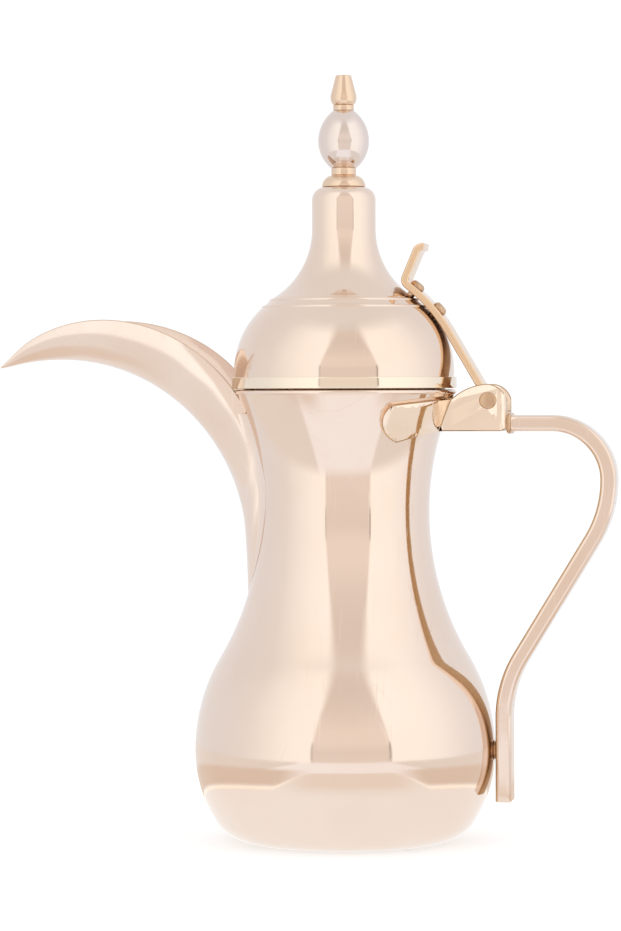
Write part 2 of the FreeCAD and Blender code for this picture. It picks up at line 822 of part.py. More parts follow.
pad(strap_body, circle(new_sketch(strap_body), ZERO, ZERO, size.strap_eye_radius), size.strap_width)
place(strap_body, pin_reach, ZERO, pin_height, Vector(0, -1, 0), strap_lean)

# Two rivets hold the strap to the lid
arc_centre = (strap_end[0] - strap_arc * top_way[1], strap_end[1] + strap_arc * top_way[0])
head_arc = chord_radius(size.rivet_head_height, size.rivet_head_radius)
seat = strap_arc + size.strap_thickness / 2
rivets, rivet_holes = [], []
for number, back, grip in (
    (1, size.rivet_first, size.rivet_first_grip),
    (2, size.rivet_second, size.rivet_second_grip),
):
    lean = size.strap_top_lean - back
    spot = (arc_centre[0] + seat * sine(lean), arc_centre[1] - seat * cosine(lean))
    rivet = spun_body(f"rivet_{number}", [
        (ZERO, -grip - size.rivet_tail_height),
        (size.rivet_tail_radius, -grip - size.rivet_tail_height),
        (size.rivet_tail_radius, -grip),
        (size.rivet_radius, -grip),
        (size.rivet_radius, ZERO),
        (size.rivet_head_radius, ZERO, head_arc),
        (ZERO, size.rivet_head_height),
    ])
    rivets.append(place(rivet, spot[0], ZERO, spot[1], turn=180 - lean))
    hole = solid_of("Part::Cylinder", f"rivet_hole_{number}",
                    Radius=size.rivet_radius + size.stud_fit, Height=3 * grip)
    start = seat - 2 * grip
    spot = (arc_centre[0] + start * sine(lean), arc_centre[1] - start * cosine(lean))
    rivet_holes.append(place(hole, spot[0], ZERO, spot[1], turn=180 - lean))
lid_rivets = group("Part::Compound", "lid_rivets", rivets)
rivet_bores = group("Part::MultiFuse", "rivet_bores", rivet_holes)
lid_dome = combine("Part::Cut", "lid_dome", dome_spun, rivet_bores)
lid_bell = combine("Part::Cut", "lid_bell", bell_spun, rivet_bores)
strap_bores = group("Part::MultiFuse", "strap_bores", [*rivet_holes, pin_hole])
lid_strap = combine("Part::Cut", "lid_strap", strap_body, strap_bores)

# Finial pieces, each bored for the stud and stacked on the lid
flange_top = lid_top + size.flange_height
finial_flange = spun_body("finial_flange", [
    (stud_hole, lid_top),
    (size.flange_radius, lid_top, chord_radius(size.flange_radius - size.collar_radius, size.flange_height)),
    (size.collar_radius, flange_top),
    (stud_hole, flange_top),
])
bulb_foot = flange_top + size.collar_height
finial_collar = spun_body("finial_collar", [
    (stud_hole, flange_top),
    (size.collar_radius, flange_top),
    (size.collar_radius, bulb_foot),
    (stud_hole, bulb_foot),
])
bulb_middle = bulb_foot + size.bulb_low_height
bulb_top = bulb_middle + size.bulb_high_height
finial_bulb = spun_body("finial_bulb", [
    (stud_hole, bulb_foot),
    (size.bulb_foot_radius, bulb_foot,
     chord_radius(size.bulb_radius - size.bulb_foot_radius, size.bulb_low_height)),
    (size.bulb_radius, bulb_middle,
     chord_radius(size.bulb_radius - size.bulb_top_radius, size.bulb_high_height)),
    (size.bulb_top_radius, bulb_top),
    (stud_hole, bulb_top),
])
tip_foot = bulb_top + size.ring_height
finial_ring = spun_body("finial_ring", [
    (stud_hole, bulb_top),
    (size.ring_radius, bulb_top),
    (size.ring_radius, tip_foot),
    (stud_hole, tip_foot),
])
tip_middle = tip_foot + size.tip_low_height
tip_top = tip_middle + size.tip_high_height
stud_top = tip_foot + size.stud_into_tip
finial_tip = spun_body("finial_tip", [
    (stud_hole, tip_foot),
    (size.tip_foot_radius, tip_foot,
     chord_radius(size.tip_radius - size.tip_foot_radius, size.tip_low_height)),
    (size.tip_radius, tip_middle,
     chord_radius(size.tip_radius - size.tip_top_radius, size.tip_high_height)),
    (size.tip_top_radius, tip_top),
    (ZERO, tip_top),
    (ZERO, stud_top),
    (stud_hole, stud_top),
])

# Stud, washer and nut inside the chimney
washer_foot = lid_top - size.lid_wall - size.finial_washer_height
nut_foot = washer_foot - size.nut_height
stud_foot = nut_foot - size.stud_tail
finial_stud = spun_body("finial_stud", [
    (ZERO, stud_foot),
    (size.stud_radius, stud_foot),
    (size.stud_radius, stud_top),
    (ZERO, stud_top),
])
finial_washer = spun_body("finial_washer", [
    (stud_hole, washer_foot),
    (size.finial_washer_radius, washer_foot),
    (size.finial_washer_radius, washer_foot + size.finial_washer_height),
    (stud_hole, washer_foot + size.finial_washer_height),
])
finial_nut = new_body("finial_nut")
nut_sketch = new_sketch(finial_nut, "XY_Plane")
nut_corner = size.nut_flat / (2 * cosine(as_dim(30)))
outline(nut_sketch, [
    (nut_corner * cosine(as_dim(60 * side)), nut_corner * sine(as_dim(60 * side))) for side in range(6)
])
circle(nut_sketch, ZERO, ZERO, stud_hole)
pad(finial_nut, nut_sketch, size.nut_height, "One side")
place(finial_nut, z=nut_foot)

# Check and write
doc.recompute()
NODES = [
    body_shell, base_plate, spout, yoke, pin, washers, handle, foot_pad,
    lid_dome, lid_bell, lid_band, lid_sleeve, lid_strap, lid_rivets,
    finial_flange, finial_collar, finial_bulb, finial_ring, finial_tip,
    finial_stud, finial_washer, finial_nut,
]
for item in doc.Objects:
    if "Invalid" in item.State or "Error" in item.State:
        raise RuntimeError(f"{item.Label} did not build: {item.State}")
if body_shell.Shape.Volume >= before_pour:
    raise RuntimeError("the pour opening cut nothing")
os.makedirs("parts", exist_ok=True)
for node in NODES:
    shape = node.Shape
    if shape.isNull() or not shape.isValid():
        raise RuntimeError(f"{node.Label} has no valid shape")
    shape.exportStep(f"parts/{node.Label}.step")
    print(f"{node.Label}: {len(shape.Solids)} solid, {shape.Volume:.0f} mm3")
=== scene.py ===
from math import asin, atan, atan2, copysign, cos, degrees, dist, hypot, pi, radians, sin, sqrt, tan

import bmesh
import bpy
from mathutils import Matrix, Vector, noise


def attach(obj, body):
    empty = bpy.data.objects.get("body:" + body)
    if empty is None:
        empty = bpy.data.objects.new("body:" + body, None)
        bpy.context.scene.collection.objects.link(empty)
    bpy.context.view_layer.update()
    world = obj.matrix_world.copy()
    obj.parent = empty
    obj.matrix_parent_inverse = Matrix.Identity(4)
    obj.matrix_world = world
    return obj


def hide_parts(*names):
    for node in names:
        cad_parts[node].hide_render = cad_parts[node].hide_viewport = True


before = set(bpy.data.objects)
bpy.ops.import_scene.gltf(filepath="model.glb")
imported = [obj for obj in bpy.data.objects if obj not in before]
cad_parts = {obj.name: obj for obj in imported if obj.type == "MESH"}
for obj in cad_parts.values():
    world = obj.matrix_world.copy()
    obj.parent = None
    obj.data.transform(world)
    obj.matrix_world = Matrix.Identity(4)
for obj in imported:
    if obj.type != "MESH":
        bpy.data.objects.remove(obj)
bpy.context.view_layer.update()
mm = 0.001
print("frame loaded:", len(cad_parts), "nodes")


# a socket with maths on it, for shader and geometry trees alike
class Wire:
    def __init__(self, tree, socket=None):
        self.tree = tree
        self.socket = socket

    def node(self, kind, settings=None, sockets=None, out=0):
        made = self.tree.nodes.new(kind)
        for name, value in (settings or {}).items():
            if name == "stops":
                while len(made.color_ramp.elements) < len(value):
                    made.color_ramp.elements.new(1.0)
                for element, (place, shade) in zip(made.color_ramp.elements, value):
                    element.position = place
                    element.color = (shade, shade, shade, 1)
            else:
                setattr(made, name, value)
        for name, value in (sockets or {}).items():
            if isinstance(value, Wire):
                self.tree.links.new(value.socket, made.inputs[name])
            else:
                made.inputs[name].default_value = value
        return Wire(self.tree, made.outputs[out] if made.outputs else None)

    def sum(self, operation, first, second=0.0):
        return self.node("ShaderNodeMath", {"operation": operation}, {0: first, 1: second})

    def __add__(self, other):
        return self.sum("ADD", self, other)

    def __sub__(self, other):
        return self.sum("SUBTRACT", self, other)

    def __rsub__(self, other):
        return self.sum("SUBTRACT", other, self)

    def __mul__(self, other):
        return self.sum("MULTIPLY", self, other)

    def __abs__(self):
        return self.sum("ABSOLUTE", self)

    __radd__ = __add__
    __rmul__ = __mul__

    def vector(self, operation, *given, out="Vector"):
        return self.node("ShaderNodeVectorMath", {"operation": operation}, dict(enumerate(given)), out)

    def along(self, vector, axis):
        return self.node("ShaderNodeSeparateXYZ", None, {"Vector": vector}, axis)

    def between(self, value, low, high, first=0.0, last=1.0):
        return self.node("ShaderNodeMapRange", {"interpolation_type": "SMOOTHSTEP"},
                         {"Value": value, "From Min": low, "From Max": high, "To Min": first, "To Max": last})

    def blended(self, share, first, second):
        first, second = [side if isinstance(side, Wire) else (*side, 1) for side in (first, second)]
        return self.node("ShaderNodeMix", {"data_type": "RGBA"}, {0: share, 6: first, 7: second}, out=2)

    def speckle(self, coords, scale, detail, **more):
        return self.node("ShaderNodeTexNoise", None, {"Vector": coords, "Scale": scale, "Detail": detail, **more})

    def mapped(self, coords, turn, scale):
        return self.node("ShaderNodeMapping", None, {"Vector": coords, "Rotation": turn, "Scale": scale})


def shaderOf(owner):
    owner.use_nodes = True
    owner.node_tree.nodes.clear()
    return Wire(owner.node_tree)


# finishes: polished rose gold, warmer and a little rougher on the hand-worked fittings
# lay and turn set the buffing direction, ripple and wave are heights in millimetres
polished = {"rough": 0.055, "haze": 0.05, "lay": (60, 60, 1600), "turn": (0, 0, 0), "scratch": 0.10,
            "ripple": 0.04, "wave": 0.0}
handWorked = {"haze": 0.08, "lay": (160, 900, 900), "turn": (0, 0.3, 0), "scratch": 0.18, "ripple": 0.10}
finishes = {
    "body": {**polished, "tint": (0.850, 0.705, 0.605), "warm": (0.815, 0.650, 0.540), "rough": 0.050,
             "lay": (60, 60, 2600), "wave": 0.02},
    "beak": {"tint": (0.890, 0.755, 0.665), "warm": (0.840, 0.680, 0.570), "rough": 0.085, "haze": 0.09,
             "lay": (500, 120, 500), "turn": (0, 0.6, 0), "scratch": 0.14, "ripple": 0.08, "wave": 0.35,
             # back: a darker brown on faces turned upward, inside the trough: painted shade, with a less polished
             # finish
             "back": ((0.74, 0.55, 0.42), "Z", 0.10, 0.40)},
    "lid": {**polished, "tint": (0.845, 0.695, 0.590), "warm": (0.810, 0.640, 0.525),
            "lay": (60, 60, 2600), "wave": 0.02},
    "band": {**polished, "tint": (0.895, 0.780, 0.640), "warm": (0.860, 0.710, 0.540), "rough": 0.05, "wave": 0.04},
    "finial": {**polished, "tint": (0.810, 0.620, 0.465), "warm": (0.760, 0.550, 0.380),
               "scratch": 0.08, "ripple": 0.03},
    "bulb": {**polished, "tint": (0.790, 0.690, 0.640), "warm": (0.800, 0.640, 0.490),
             "scratch": 0.08, "ripple": 0.03},
    "strap": {**handWorked, "tint": (0.865, 0.645, 0.440), "warm": (0.800, 0.560, 0.350), "rough": 0.06,
              # back: a darker brown on the underside turned to the dome: painted shade, with a less polished finish
              "wave": 0.45, "back": ((0.52, 0.32, 0.17), "X", -0.35, -0.75)},
    "fitting": {**handWorked, "tint": (0.915, 0.765, 0.630), "warm": (0.830, 0.630, 0.450), "rough": 0.045,
                # edge: the colour given to the rounded edges, a painted dark reflection
                "haze": 0.06, "wave": 0.55, "edge": (0.50, 0.33, 0.19)},
    "handle": {**handWorked, "tint": (0.840, 0.690, 0.590), "warm": (0.790, 0.610, 0.480), "rough": 0.07,
               "lay": (700, 1500, 90), "turn": (0, 0.2, 0), "scratch": 0.16, "wave": 0.18,
               # back: a darker brown on the inner face turned to the pot: painted shade, with a less polished finish
               "back": ((0.62, 0.40, 0.20), "X", -0.35, -0.75)},
    "peened": {"tint": (0.640, 0.440, 0.290), "warm": (0.430, 0.260, 0.150), "rough": 0.15, "haze": 0.16,
               "lay": (900, 900, 900), "turn": (0.4, 0, 0.3), "scratch": 0.35, "ripple": 0.60, "wave": 0.20},
    "steel": {"tint": (0.70, 0.69, 0.68), "warm": (0.58, 0.56, 0.54), "rough": 0.28, "haze": 0.12,
              "lay": (1500, 1500, 300), "turn": (0, 0, 0), "scratch": 0.18, "ripple": 0.12, "wave": 0.0},
}
grain = {"cloud": 26.0, "smear": 95.0, "swell": 62.0, "blotch": (0.38, 0.72), "blotchShare": 0.45,
         "haze": (0.5, 0.25), "height": (0.05, 0.28, 0.17), "unpolished": (0.25, 0.35),
         "scratchLays": (((0.5, 0.9, 0.2), (2400, 36, 36)), ((1.3, 0.2, 1.1), (30, 2100, 44))),
         "scratchLine": [(0.0, 0.0), (0.70, 0.0), (0.735, 1.0), (0.77, 0.0)]}


def metalFinish(name, look):
    made = bpy.data.materials.new(name)
    start = shaderOf(made)
    coords = start.node("ShaderNodeTexCoord", out="Object")
    cloud = start.speckle(coords, grain["cloud"], 3.0, Roughness=0.55)
    smear = start.speckle(coords, grain["smear"], 4.0, Distortion=0.6)
    swell = start.speckle(coords, grain["swell"], 0.0)
    buffed = start.speckle(start.mapped(coords, look["turn"], look["lay"]), 1.0, 2.0)
    scratches = None
    for turn, stretch in grain["scratchLays"]:
        streak = start.speckle(start.mapped(coords, turn, stretch), 1.0, 1.0)
        line = start.node("ShaderNodeValToRGB", {"stops": grain["scratchLine"]}, {"Fac": streak})
        line = start.node("ShaderNodeSeparateColor", None, {"Color": line})
        scratches = line if scratches is None else start.sum("MAXIMUM", scratches, line)
    blotch = start.between(cloud, *grain["blotch"])
    scored = scratches * look["scratch"]
    colour = start.blended(blotch * grain["blotchShare"] + scored, look["tint"], look["warm"])
    smearHaze, blotchHaze = [share * look["haze"] for share in grain["haze"]]
    rough = look["rough"] + smear * smearHaze + blotch * blotchHaze + scored
    buff, film, groove = grain["height"]
    height = (buffed * buff + smear * film - scratches * groove) * look["ripple"] + swell * look["wave"]
    bump = start.node("ShaderNodeBump", None, {"Height": height, "Strength": 1.0, "Distance": mm})
    shine = 1.0
    if "back" in look:  # faces turned one way are left less polished, and their colour goes to a darker brown: painted shade
        shadeTone, axis, begin, end = look["back"]
        normal = start.node("ShaderNodeTexCoord", out="Normal")
        shadedFaces = start.between(start.along(normal, axis), begin, end)
        colour = start.blended(shadedFaces, colour, shadeTone)
        rough = rough + shadedFaces * grain["unpolished"][0]
        shine = 1 - shadedFaces * grain["unpolished"][1]
    if "edge" in look:  # rounded edges get a deeper brown tone: painted dark reflection
        paintedEdgeShade = start.node("ShaderNodeAttribute", {"attribute_name": "edge"}, out="Fac")
        colour = start.blended(paintedEdgeShade, colour, look["edge"])
    skin = start.node("ShaderNodeBsdfPrincipled", None,
                      {"Base Color": colour, "Metallic": shine, "Roughness": rough, "Normal": bump})
    start.node("ShaderNodeOutputMaterial", None, {"Surface": skin})
    return made


finish = {key: metalFinish("plainSteel" if key == "steel" else key + "RoseGold", look)
          for key, look in finishes.items()}
print("finishes made:", len(finish))


def arcPoints(centre, radius, first, last, count):
    turns = [radians(first + (last - first) * k / count) for k in range(count + 1)]
    return [(centre[0] + radius * cos(t), centre[1] + radius * sin(t)) for t in turns]


# outlines in millimetres: (radius, height) or (radius, height, bend) to leave that corner along an arc
def bendPoints(start, stop, bend, step):
    start, stop = Vector(start), Vector(stop)
    chord = stop - start
    left = Vector((-chord.y, chord.x)).normalized()
    reach = sqrt(max(bend * bend - chord.length_squared / 4, 0))
    centre = (start + stop) / 2 + left * copysign(reach, bend)
    first = atan2(start.y - centre.y, start.x - centre.x)
    sweep = copysign(2 * asin(min(chord.length / 2 / abs(bend), 1)), bend)
    count = max(2, int(abs(degrees(sweep)) / step) + 1)
    return arcPoints(centre, abs(bend), degrees(first), degrees(first + sweep), count)[:-1]


def roundedCorner(start, corner, stop, count):
    shares = [k / count for k in range(count + 1)]
    return [(1 - t) ** 2 * start + 2 * t * (1 - t) * corner + t * t * stop for t in shares]


def roundedBox(width, thick, corner, count):
    spots = []
    for x, y, first in ((1, 1, 0), (-1, 1, 90), (-1, -1, 180), (1, -1, 270)):
        spots += arcPoints((x * (width / 2 - corner), y * (thick / 2 - corner)), corner, first, first + 90, count)
    return spots


def hoop(inner, outer, low, high):
    return [(inner, low), (outer, low), (outer, high), (inner, high)]


def trace(corners, step=1.5, closed=True, straight=2.0):
    points, marks = [], []
    count = len(corners)
    for i, corner in enumerate(corners):
        after = corners[(i + 1) % count]
        marks.append(len(points))
        if len(corner) == 3:
            points += bendPoints(corner[:2], after[:2], corner[2], step)
        elif i < count - 1 or closed:
            here, there = Vector(corner[:2]), Vector(after[:2])
            pieces = max(1, int((there - here).length / straight))
            points += [tuple(here.lerp(there, k / pieces)) for k in range(pieces)]
        else:
            points.append(tuple(corner[:2]))
    return points, marks


def soften(points, marks, ease, closed=True, sharpest=18):
    count = len(points)
    spots = [Vector(p) for p in points]
    drop, grown = set(), {}
    for mark in marks:
        if not closed and mark in (0, count - 1):
            continue
        here = spots[mark]
        before, after = spots[(mark - 1) % count], spots[(mark + 1) % count]
        inWay, outWay = (here - before).normalized(), (after - here).normalized()
        if inWay.angle(outWay, 0) < radians(sharpest):
            continue
        grown[mark] = roundedCorner(here - inWay * ease, here, here + outWay * ease, 5)
        for way in (-1, 1):  # points within the rounding go
            k = (mark + way) % count
            while (spots[k] - here).length < ease * 1.05 and k != mark and k not in marks:
                drop.add(k)
                k = (k + way) % count
    made = []
    for i, spot in enumerate(spots):
        if i in grown:
            made += [tuple(p) for p in grown[i]]
        elif i not in drop:
            made.append(tuple(spot))
    return made


def openTree(name, **inputs):
    tree = bpy.data.node_groups.new(name, "GeometryNodeTree")
    for label, kind in inputs.items():
        tree.interface.new_socket(label, in_out="INPUT", socket_type="NodeSocket" + kind)
    tree.interface.new_socket("Piece", in_out="OUTPUT", socket_type="NodeSocketGeometry")
    given = tree.nodes.new("NodeGroupInput")
    return Wire(tree), [Wire(tree, given.outputs[i]) for i in range(len(inputs))]


def closeTree(start, shape, metal):
    shape = start.node("GeometryNodeRealizeInstances", None, {"Geometry": shape})
    shape = start.node("GeometryNodeSetMaterial", None, {"Geometry": shape, "Material": metal})
    start.node("NodeGroupOutput", None, {0: shape})
    return start.tree


# geometry tree that turns an outline about Z
def turnedTree():
    start, (outline, steps, segments, metal) = openTree(
        "turnedPiece", Outline="Geometry", Steps="Int", Segments="Int", Finish="Material")
    grid = start.node("GeometryNodeMeshGrid", None, {
        "Size X": 1.0, "Size Y": 1.0, "Vertices X": steps, "Vertices Y": segments + 1})
    place = start.node("GeometryNodeInputPosition")
    index = start.sum("ROUND", (start.along(place, "X") + 0.5) * (steps - 1))
    spot = start.node("GeometryNodeSampleIndex", {"data_type": "FLOAT_VECTOR", "domain": "POINT", "clamp": True},
                      {"Geometry": outline, "Value": place, "Index": index})
    radius, height = start.along(spot, "X"), start.along(spot, "Z")
    angle = (start.along(place, "Y") + 0.5) * (2 * pi)
    ring = start.node("ShaderNodeCombineXYZ", None, {
        "X": radius * start.sum("COSINE", angle), "Y": radius * start.sum("SINE", angle), "Z": height})
    shell = start.node("GeometryNodeSetPosition", None, {"Geometry": grid, "Position": ring})
    shell = start.node("GeometryNodeMergeByDistance", None, {"Geometry": shell, "Distance": 1e-6})
    return closeTree(start, shell, metal)


# geometry tree that sweeps a section along a path
def barTree():
    start, (path, section, metal) = openTree("barAlongPath", Path="Geometry", Section="Object", Finish="Material")
    path = start.node("GeometryNodeMeshToCurve", None, {"Mesh": path})
    shape = start.node("GeometryNodeObjectInfo", {"transform_space": "ORIGINAL"}, {"Object": section}, "Geometry")
    shape = start.node("GeometryNodeMeshToCurve", None, {"Mesh": shape})
    swept = start.node("GeometryNodeCurveToMesh", None, {"Curve": path, "Profile Curve": shape, "Fill Caps": True})
    swept = start.node("GeometryNodeMergeByDistance", None, {"Geometry": swept, "Distance": 1e-6})
    return closeTree(start, swept, metal)


# geometry tree that sets one fastener on each point, its axis along the point's own direction
def fastenerTree():
    start, (points, fastener, metal) = openTree(
        "fastenersOnPoints", Points="Geometry", Fastener="Object", Finish="Material")
    axis = start.node("GeometryNodeInputNamedAttribute", {"data_type": "FLOAT_VECTOR"}, {"Name": "axis"})
    turn = start.node("FunctionNodeAlignRotationToVector", {"axis": "Z"}, {"Vector": axis})
    shape = start.node("GeometryNodeObjectInfo", {"transform_space": "ORIGINAL"}, {"Object": fastener}, "Geometry")
    placed = start.node("GeometryNodeInstanceOnPoints", None, {"Points": points, "Instance": shape, "Rotation": turn})
    return closeTree(start, placed, metal)


trees = {"turned": turnedTree(), "bar": barTree(), "fasteners": fastenerTree()}


def rawObject(name, points, edges=(), faces=()):
    mesh = bpy.data.meshes.new(name)
    mesh.from_pydata([tuple(p) for p in points], list(edges), list(faces))
    made = bpy.data.objects.new(name, mesh)
    bpy.context.scene.collection.objects.link(made)
    return made


def chain(count, closed=False):
    return [(i, (i + 1) % count) for i in range(count if closed else count - 1)]


def bandFaces(rows, size, first=0):
    corners = [(r * size + first, k, (k + 1) % size) for r in range(rows) for k in range(size)]
    return [(row + k, row + after, row + size + after, row + size + k) for row, k, after in corners]


def sharpen(piece, sharp):
    piece.data.set_sharp_from_angle(angle=radians(sharp))
    return piece


def smoothMesh(piece, sharp=35):
    shape = bmesh.new()
    shape.from_mesh(piece.data)
    bmesh.ops.remove_doubles(shape, verts=shape.verts, dist=1e-6)
    bmesh.ops.recalc_face_normals(shape, faces=shape.faces)
    for face in shape.faces:
        face.smooth = True
    shape.to_mesh(piece.data)
    shape.free()
    return sharpen(piece, sharp)


def coated(piece, metal):
    piece.data.materials.clear()
    piece.data.materials.append(metal)
    piece.data.polygons.foreach_set("material_index", [0] * len(piece.data.polygons))
    return piece


def applyModifiers(piece):
    bpy.context.view_layer.update()
    ready = piece.evaluated_get(bpy.context.evaluated_depsgraph_get())
    mesh = bpy.data.meshes.new_from_object(ready)
    piece.modifiers.clear()
    old = piece.data
    piece.data = mesh
    bpy.data.meshes.remove(old)
    mesh.name = piece.name
    return piece


def throughTree(piece, tree, values):
    modifier = piece.modifiers.new("nodes", "NODES")
    modifier.node_group = trees[tree]
    sockets = {s.name: s.identifier for s in trees[tree].interface.items_tree if s.in_out == "INPUT"}
    for name, value in values.items():
        modifier[sockets[name]] = value
    return coated(applyModifiers(piece), values["Finish"])


def cutBy(piece, tool):
    cut = piece.modifiers.new("cut", "BOOLEAN")
    cut.operation, cut.object, cut.solver = "DIFFERENCE", tool, "EXACT"
    applyModifiers(piece)
    bpy.data.objects.remove(tool)
    return sharpen(piece, 35)


def bevelled(piece, width, segments, angle, **more):
    ease = piece.modifiers.new("edges", "BEVEL")
    ease.width, ease.segments = width * mm, segments
    ease.limit_method, ease.angle_limit = "ANGLE", radians(angle)
    for name, value in more.items():
        setattr(ease, name, value)
    return applyModifiers(piece)


def turned(name, points, metal, segments, closed=True):
    ring = points + points[:1] if closed else points
    profile = rawObject(name, [(r * mm, 0, z * mm) for r, z in ring], chain(len(ring)))
    throughTree(profile, "turned", {"Steps": len(ring), "Segments": segments, "Finish": finish[metal]})
    return smoothMesh(profile)


def turnedFrom(name, corners, metal, ease, segments, closed=True, step=2.0):
    points, marks = trace(corners, step, closed)
    return turned(name, soften(points, marks, ease, closed), metal, segments, closed)


def joined(name, pieces, sharp=40):
    shape = bmesh.new()
    for piece in pieces:
        shape.from_mesh(piece.data)
    first = pieces[0]
    metal = first.data.materials[0]
    shape.to_mesh(first.data)
    shape.free()
    for piece in pieces[1:]:
        bpy.data.objects.remove(piece)
    first.name = first.data.name = name
    return sharpen(coated(first, metal), sharp)


def moved(piece, matrix):
    piece.data.transform(matrix)
    return piece


def settle(piece, body, slotName, *nodes):
    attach(piece, body)
    if nodes:
        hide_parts(*nodes)
    return piece


# pot body, spun from one sheet with a rolled rim
body = {"bellyRadius": 59.0, "bellyHeight": 35.5, "waistRadius": 33.35, "waistHeight": 128.8, "waistArc": 111.3,
        "lowerArc": 52.0, "heelRadius": 16.0, "rimHeight": 176.8, "rimBead": 1.0, "rimSink": 0.8, "wall": 1.2,
        "baseRadius": 30.0, "baseThickness": 1.5, "baseGap": 0.05, "segments": 288}
narrowing = body["bellyRadius"] - body["waistRadius"]
climb = body["waistHeight"] - body["bellyHeight"]
arcSum = (narrowing ** 2 + climb ** 2) / (2 * narrowing)
bellyArc = arcSum - body["waistArc"]
bellyCentre = Vector((body["bellyRadius"] - bellyArc, body["bellyHeight"]))
waistCentre = Vector((body["waistRadius"] + body["waistArc"], body["waistHeight"]))
lowerCentre = Vector((body["bellyRadius"] - body["lowerArc"], body["bellyHeight"]))
heelDrop = body["bellyHeight"] - body["heelRadius"]
heelLink = body["lowerArc"] - body["heelRadius"]
heelCentre = Vector((lowerCentre.x + sqrt(heelLink ** 2 - heelDrop ** 2), body["heelRadius"]))


def neckRadius(height, depth=0.0):
    return waistCentre.x - sqrt((body["waistArc"] + depth) ** 2 - (height - body["waistHeight"]) ** 2)


def bodySkin(depth, top):
    heelJoin = lowerCentre + (heelCentre - lowerCentre).normalized() * (body["lowerArc"] - depth)
    waistJoin = bellyCentre + (waistCentre - bellyCentre).normalized() * (bellyArc - depth)
    corners = [
        (heelCentre.x, depth, body["heelRadius"] - depth),
        (heelJoin.x, heelJoin.y, body["lowerArc"] - depth),
        (body["bellyRadius"] - depth, body["bellyHeight"], bellyArc - depth),
        (waistJoin.x, waistJoin.y, -(body["waistArc"] + depth)),
        (neckRadius(top, depth), top),
    ]
    return trace(corners, 0.9, closed=False)[0]


beadHeight = body["rimHeight"] - body["rimBead"]
beadRadius = neckRadius(beadHeight, body["wall"] / 2)
wallTop = beadHeight - body["rimSink"] * body["rimBead"]
rimRoll = arcPoints((beadRadius, beadHeight), body["rimBead"], -45, 225, 30)
outside = bodySkin(0.0, wallTop)
inside = bodySkin(body["wall"], wallTop)
potBody = turned("potBody", [(body["baseRadius"], 0.0)] + outside + rimRoll + inside[::-1]
                 + [(body["baseRadius"], body["wall"])], "body", body["segments"])

# pour opening behind the beak
pour = {"top": 166.0, "bottom": 112.0, "halfTop": 8.0, "halfBottom": 4.0, "bulge": 1.25, "reach": (-60, -15)}
pourShape, _ = trace([(-pour["halfBottom"], pour["bottom"], pour["bulge"] * pour["halfBottom"]),
                      (pour["halfBottom"], pour["bottom"]),
                      (pour["halfTop"], pour["top"], pour["bulge"] * pour["halfTop"]),
                      (-pour["halfTop"], pour["top"])], 12)
count = len(pourShape)
cutter = rawObject("pourCutter", [(x * mm, y * mm, z * mm) for x in pour["reach"] for y, z in pourShape],
                   (), [tuple(range(count)), tuple(range(2 * count - 1, count - 1, -1))]
                   + [(i, i + count, (i + 1) % count + count, (i + 1) % count) for i in range(count)])
cutBy(potBody, smoothMesh(cutter))
settle(potBody, "pot", "rose_gold", "body_shell")

basePlate = turnedFrom("basePlate", hoop(0.0, body["baseRadius"] - body["baseGap"], 0.0, body["baseThickness"]),
                       "body", ease=0.2, segments=128, closed=False)
settle(basePlate, "pot", "rose_gold", "base_plate")
print("pot body turned")

# beak spout: trough sections fan out from the neck to the tip
beak = {"reach": 139.8, "tipHeight": 185.4, "crestReach": 94.0, "crestHeight": 204.2, "keelReach": 114.0,
        "keelHeight": 189.0, "keelArc": 75.0, "rootAngle": 30.0, "widest": 45.0, "tipAngle": 111.0,
        "tipCut": 0.8, "footHeight": 92.0, "footSink": 1.2, "halfMouth": 20.5, "halfNeck": 15.0,
        "halfFoot": 8.5, "wall": 1.2, "thinnest": 0.45, "lip": 0.30, "lipShape": ((0.28, 0.8), (0.5, 1.0), (0.72, 0.8)),
        "spans": 9, "across": 50, "between": 9}


def keelPoint(angle):
    low = beak["keelHeight"] - beak["keelArc"]
    if angle <= 90:
        turn = radians(angle)
        return Vector((beak["keelArc"] * cos(turn) - beak["keelReach"], 0,
                       low + beak["keelArc"] * sin(turn)))
    share = (angle - 90) / (beak["tipAngle"] - 90)
    fall = beak["keelHeight"] - beak["tipHeight"]
    return Vector((-beak["keelReach"] - share * (beak["reach"] - beak["keelReach"]), 0,
                   beak["keelHeight"] - fall * share ** 2))


def edgePoint(angle):
    over = beak["reach"] - beak["crestReach"]
    fall = beak["crestHeight"] - beak["tipHeight"]
    arc = (over ** 2 + fall ** 2) / (2 * fall)
    low = beak["crestHeight"] - arc
    tipTurn = 90 + degrees(asin(over / arc))
    rimTurn = degrees(asin((body["rimHeight"] - low) / arc))
    share = (angle - beak["rootAngle"]) / (beak["tipAngle"] - beak["rootAngle"])
    turn = radians(rimTurn + share * (tipTurn - rimTurn))
    return Vector((arc * cos(turn) - beak["crestReach"], 0, low + arc * sin(turn)))


def halfWidth(angle):
    widest = beak["widest"]
    if angle > widest:
        return beak["halfMouth"] * (1 - ((angle - widest) / (beak["tipAngle"] - widest)) ** 2)
    share = max(angle, 0) / widest
    return beak["halfNeck"] + (beak["halfMouth"] - beak["halfNeck"]) * share * share * (3 - 2 * share)


def troughStations():
    bottom = Vector((beak["footSink"] - neckRadius(beak["footHeight"]), 0, beak["footHeight"]))
    half = beak["halfFoot"]
    yield bottom, bottom + Vector((half, 0, half / 2)), half, beak["wall"]
    last = beak["tipAngle"] - beak["tipCut"]
    for step in range(beak["spans"] + 1):
        angle = last * step / beak["spans"]
        bottom, top, half = keelPoint(angle), edgePoint(angle), halfWidth(angle)
        yield bottom, top, half, min(beak["wall"], beak["thinnest"] * half, beak["thinnest"] * (top - bottom).length)


stations = list(troughStations())


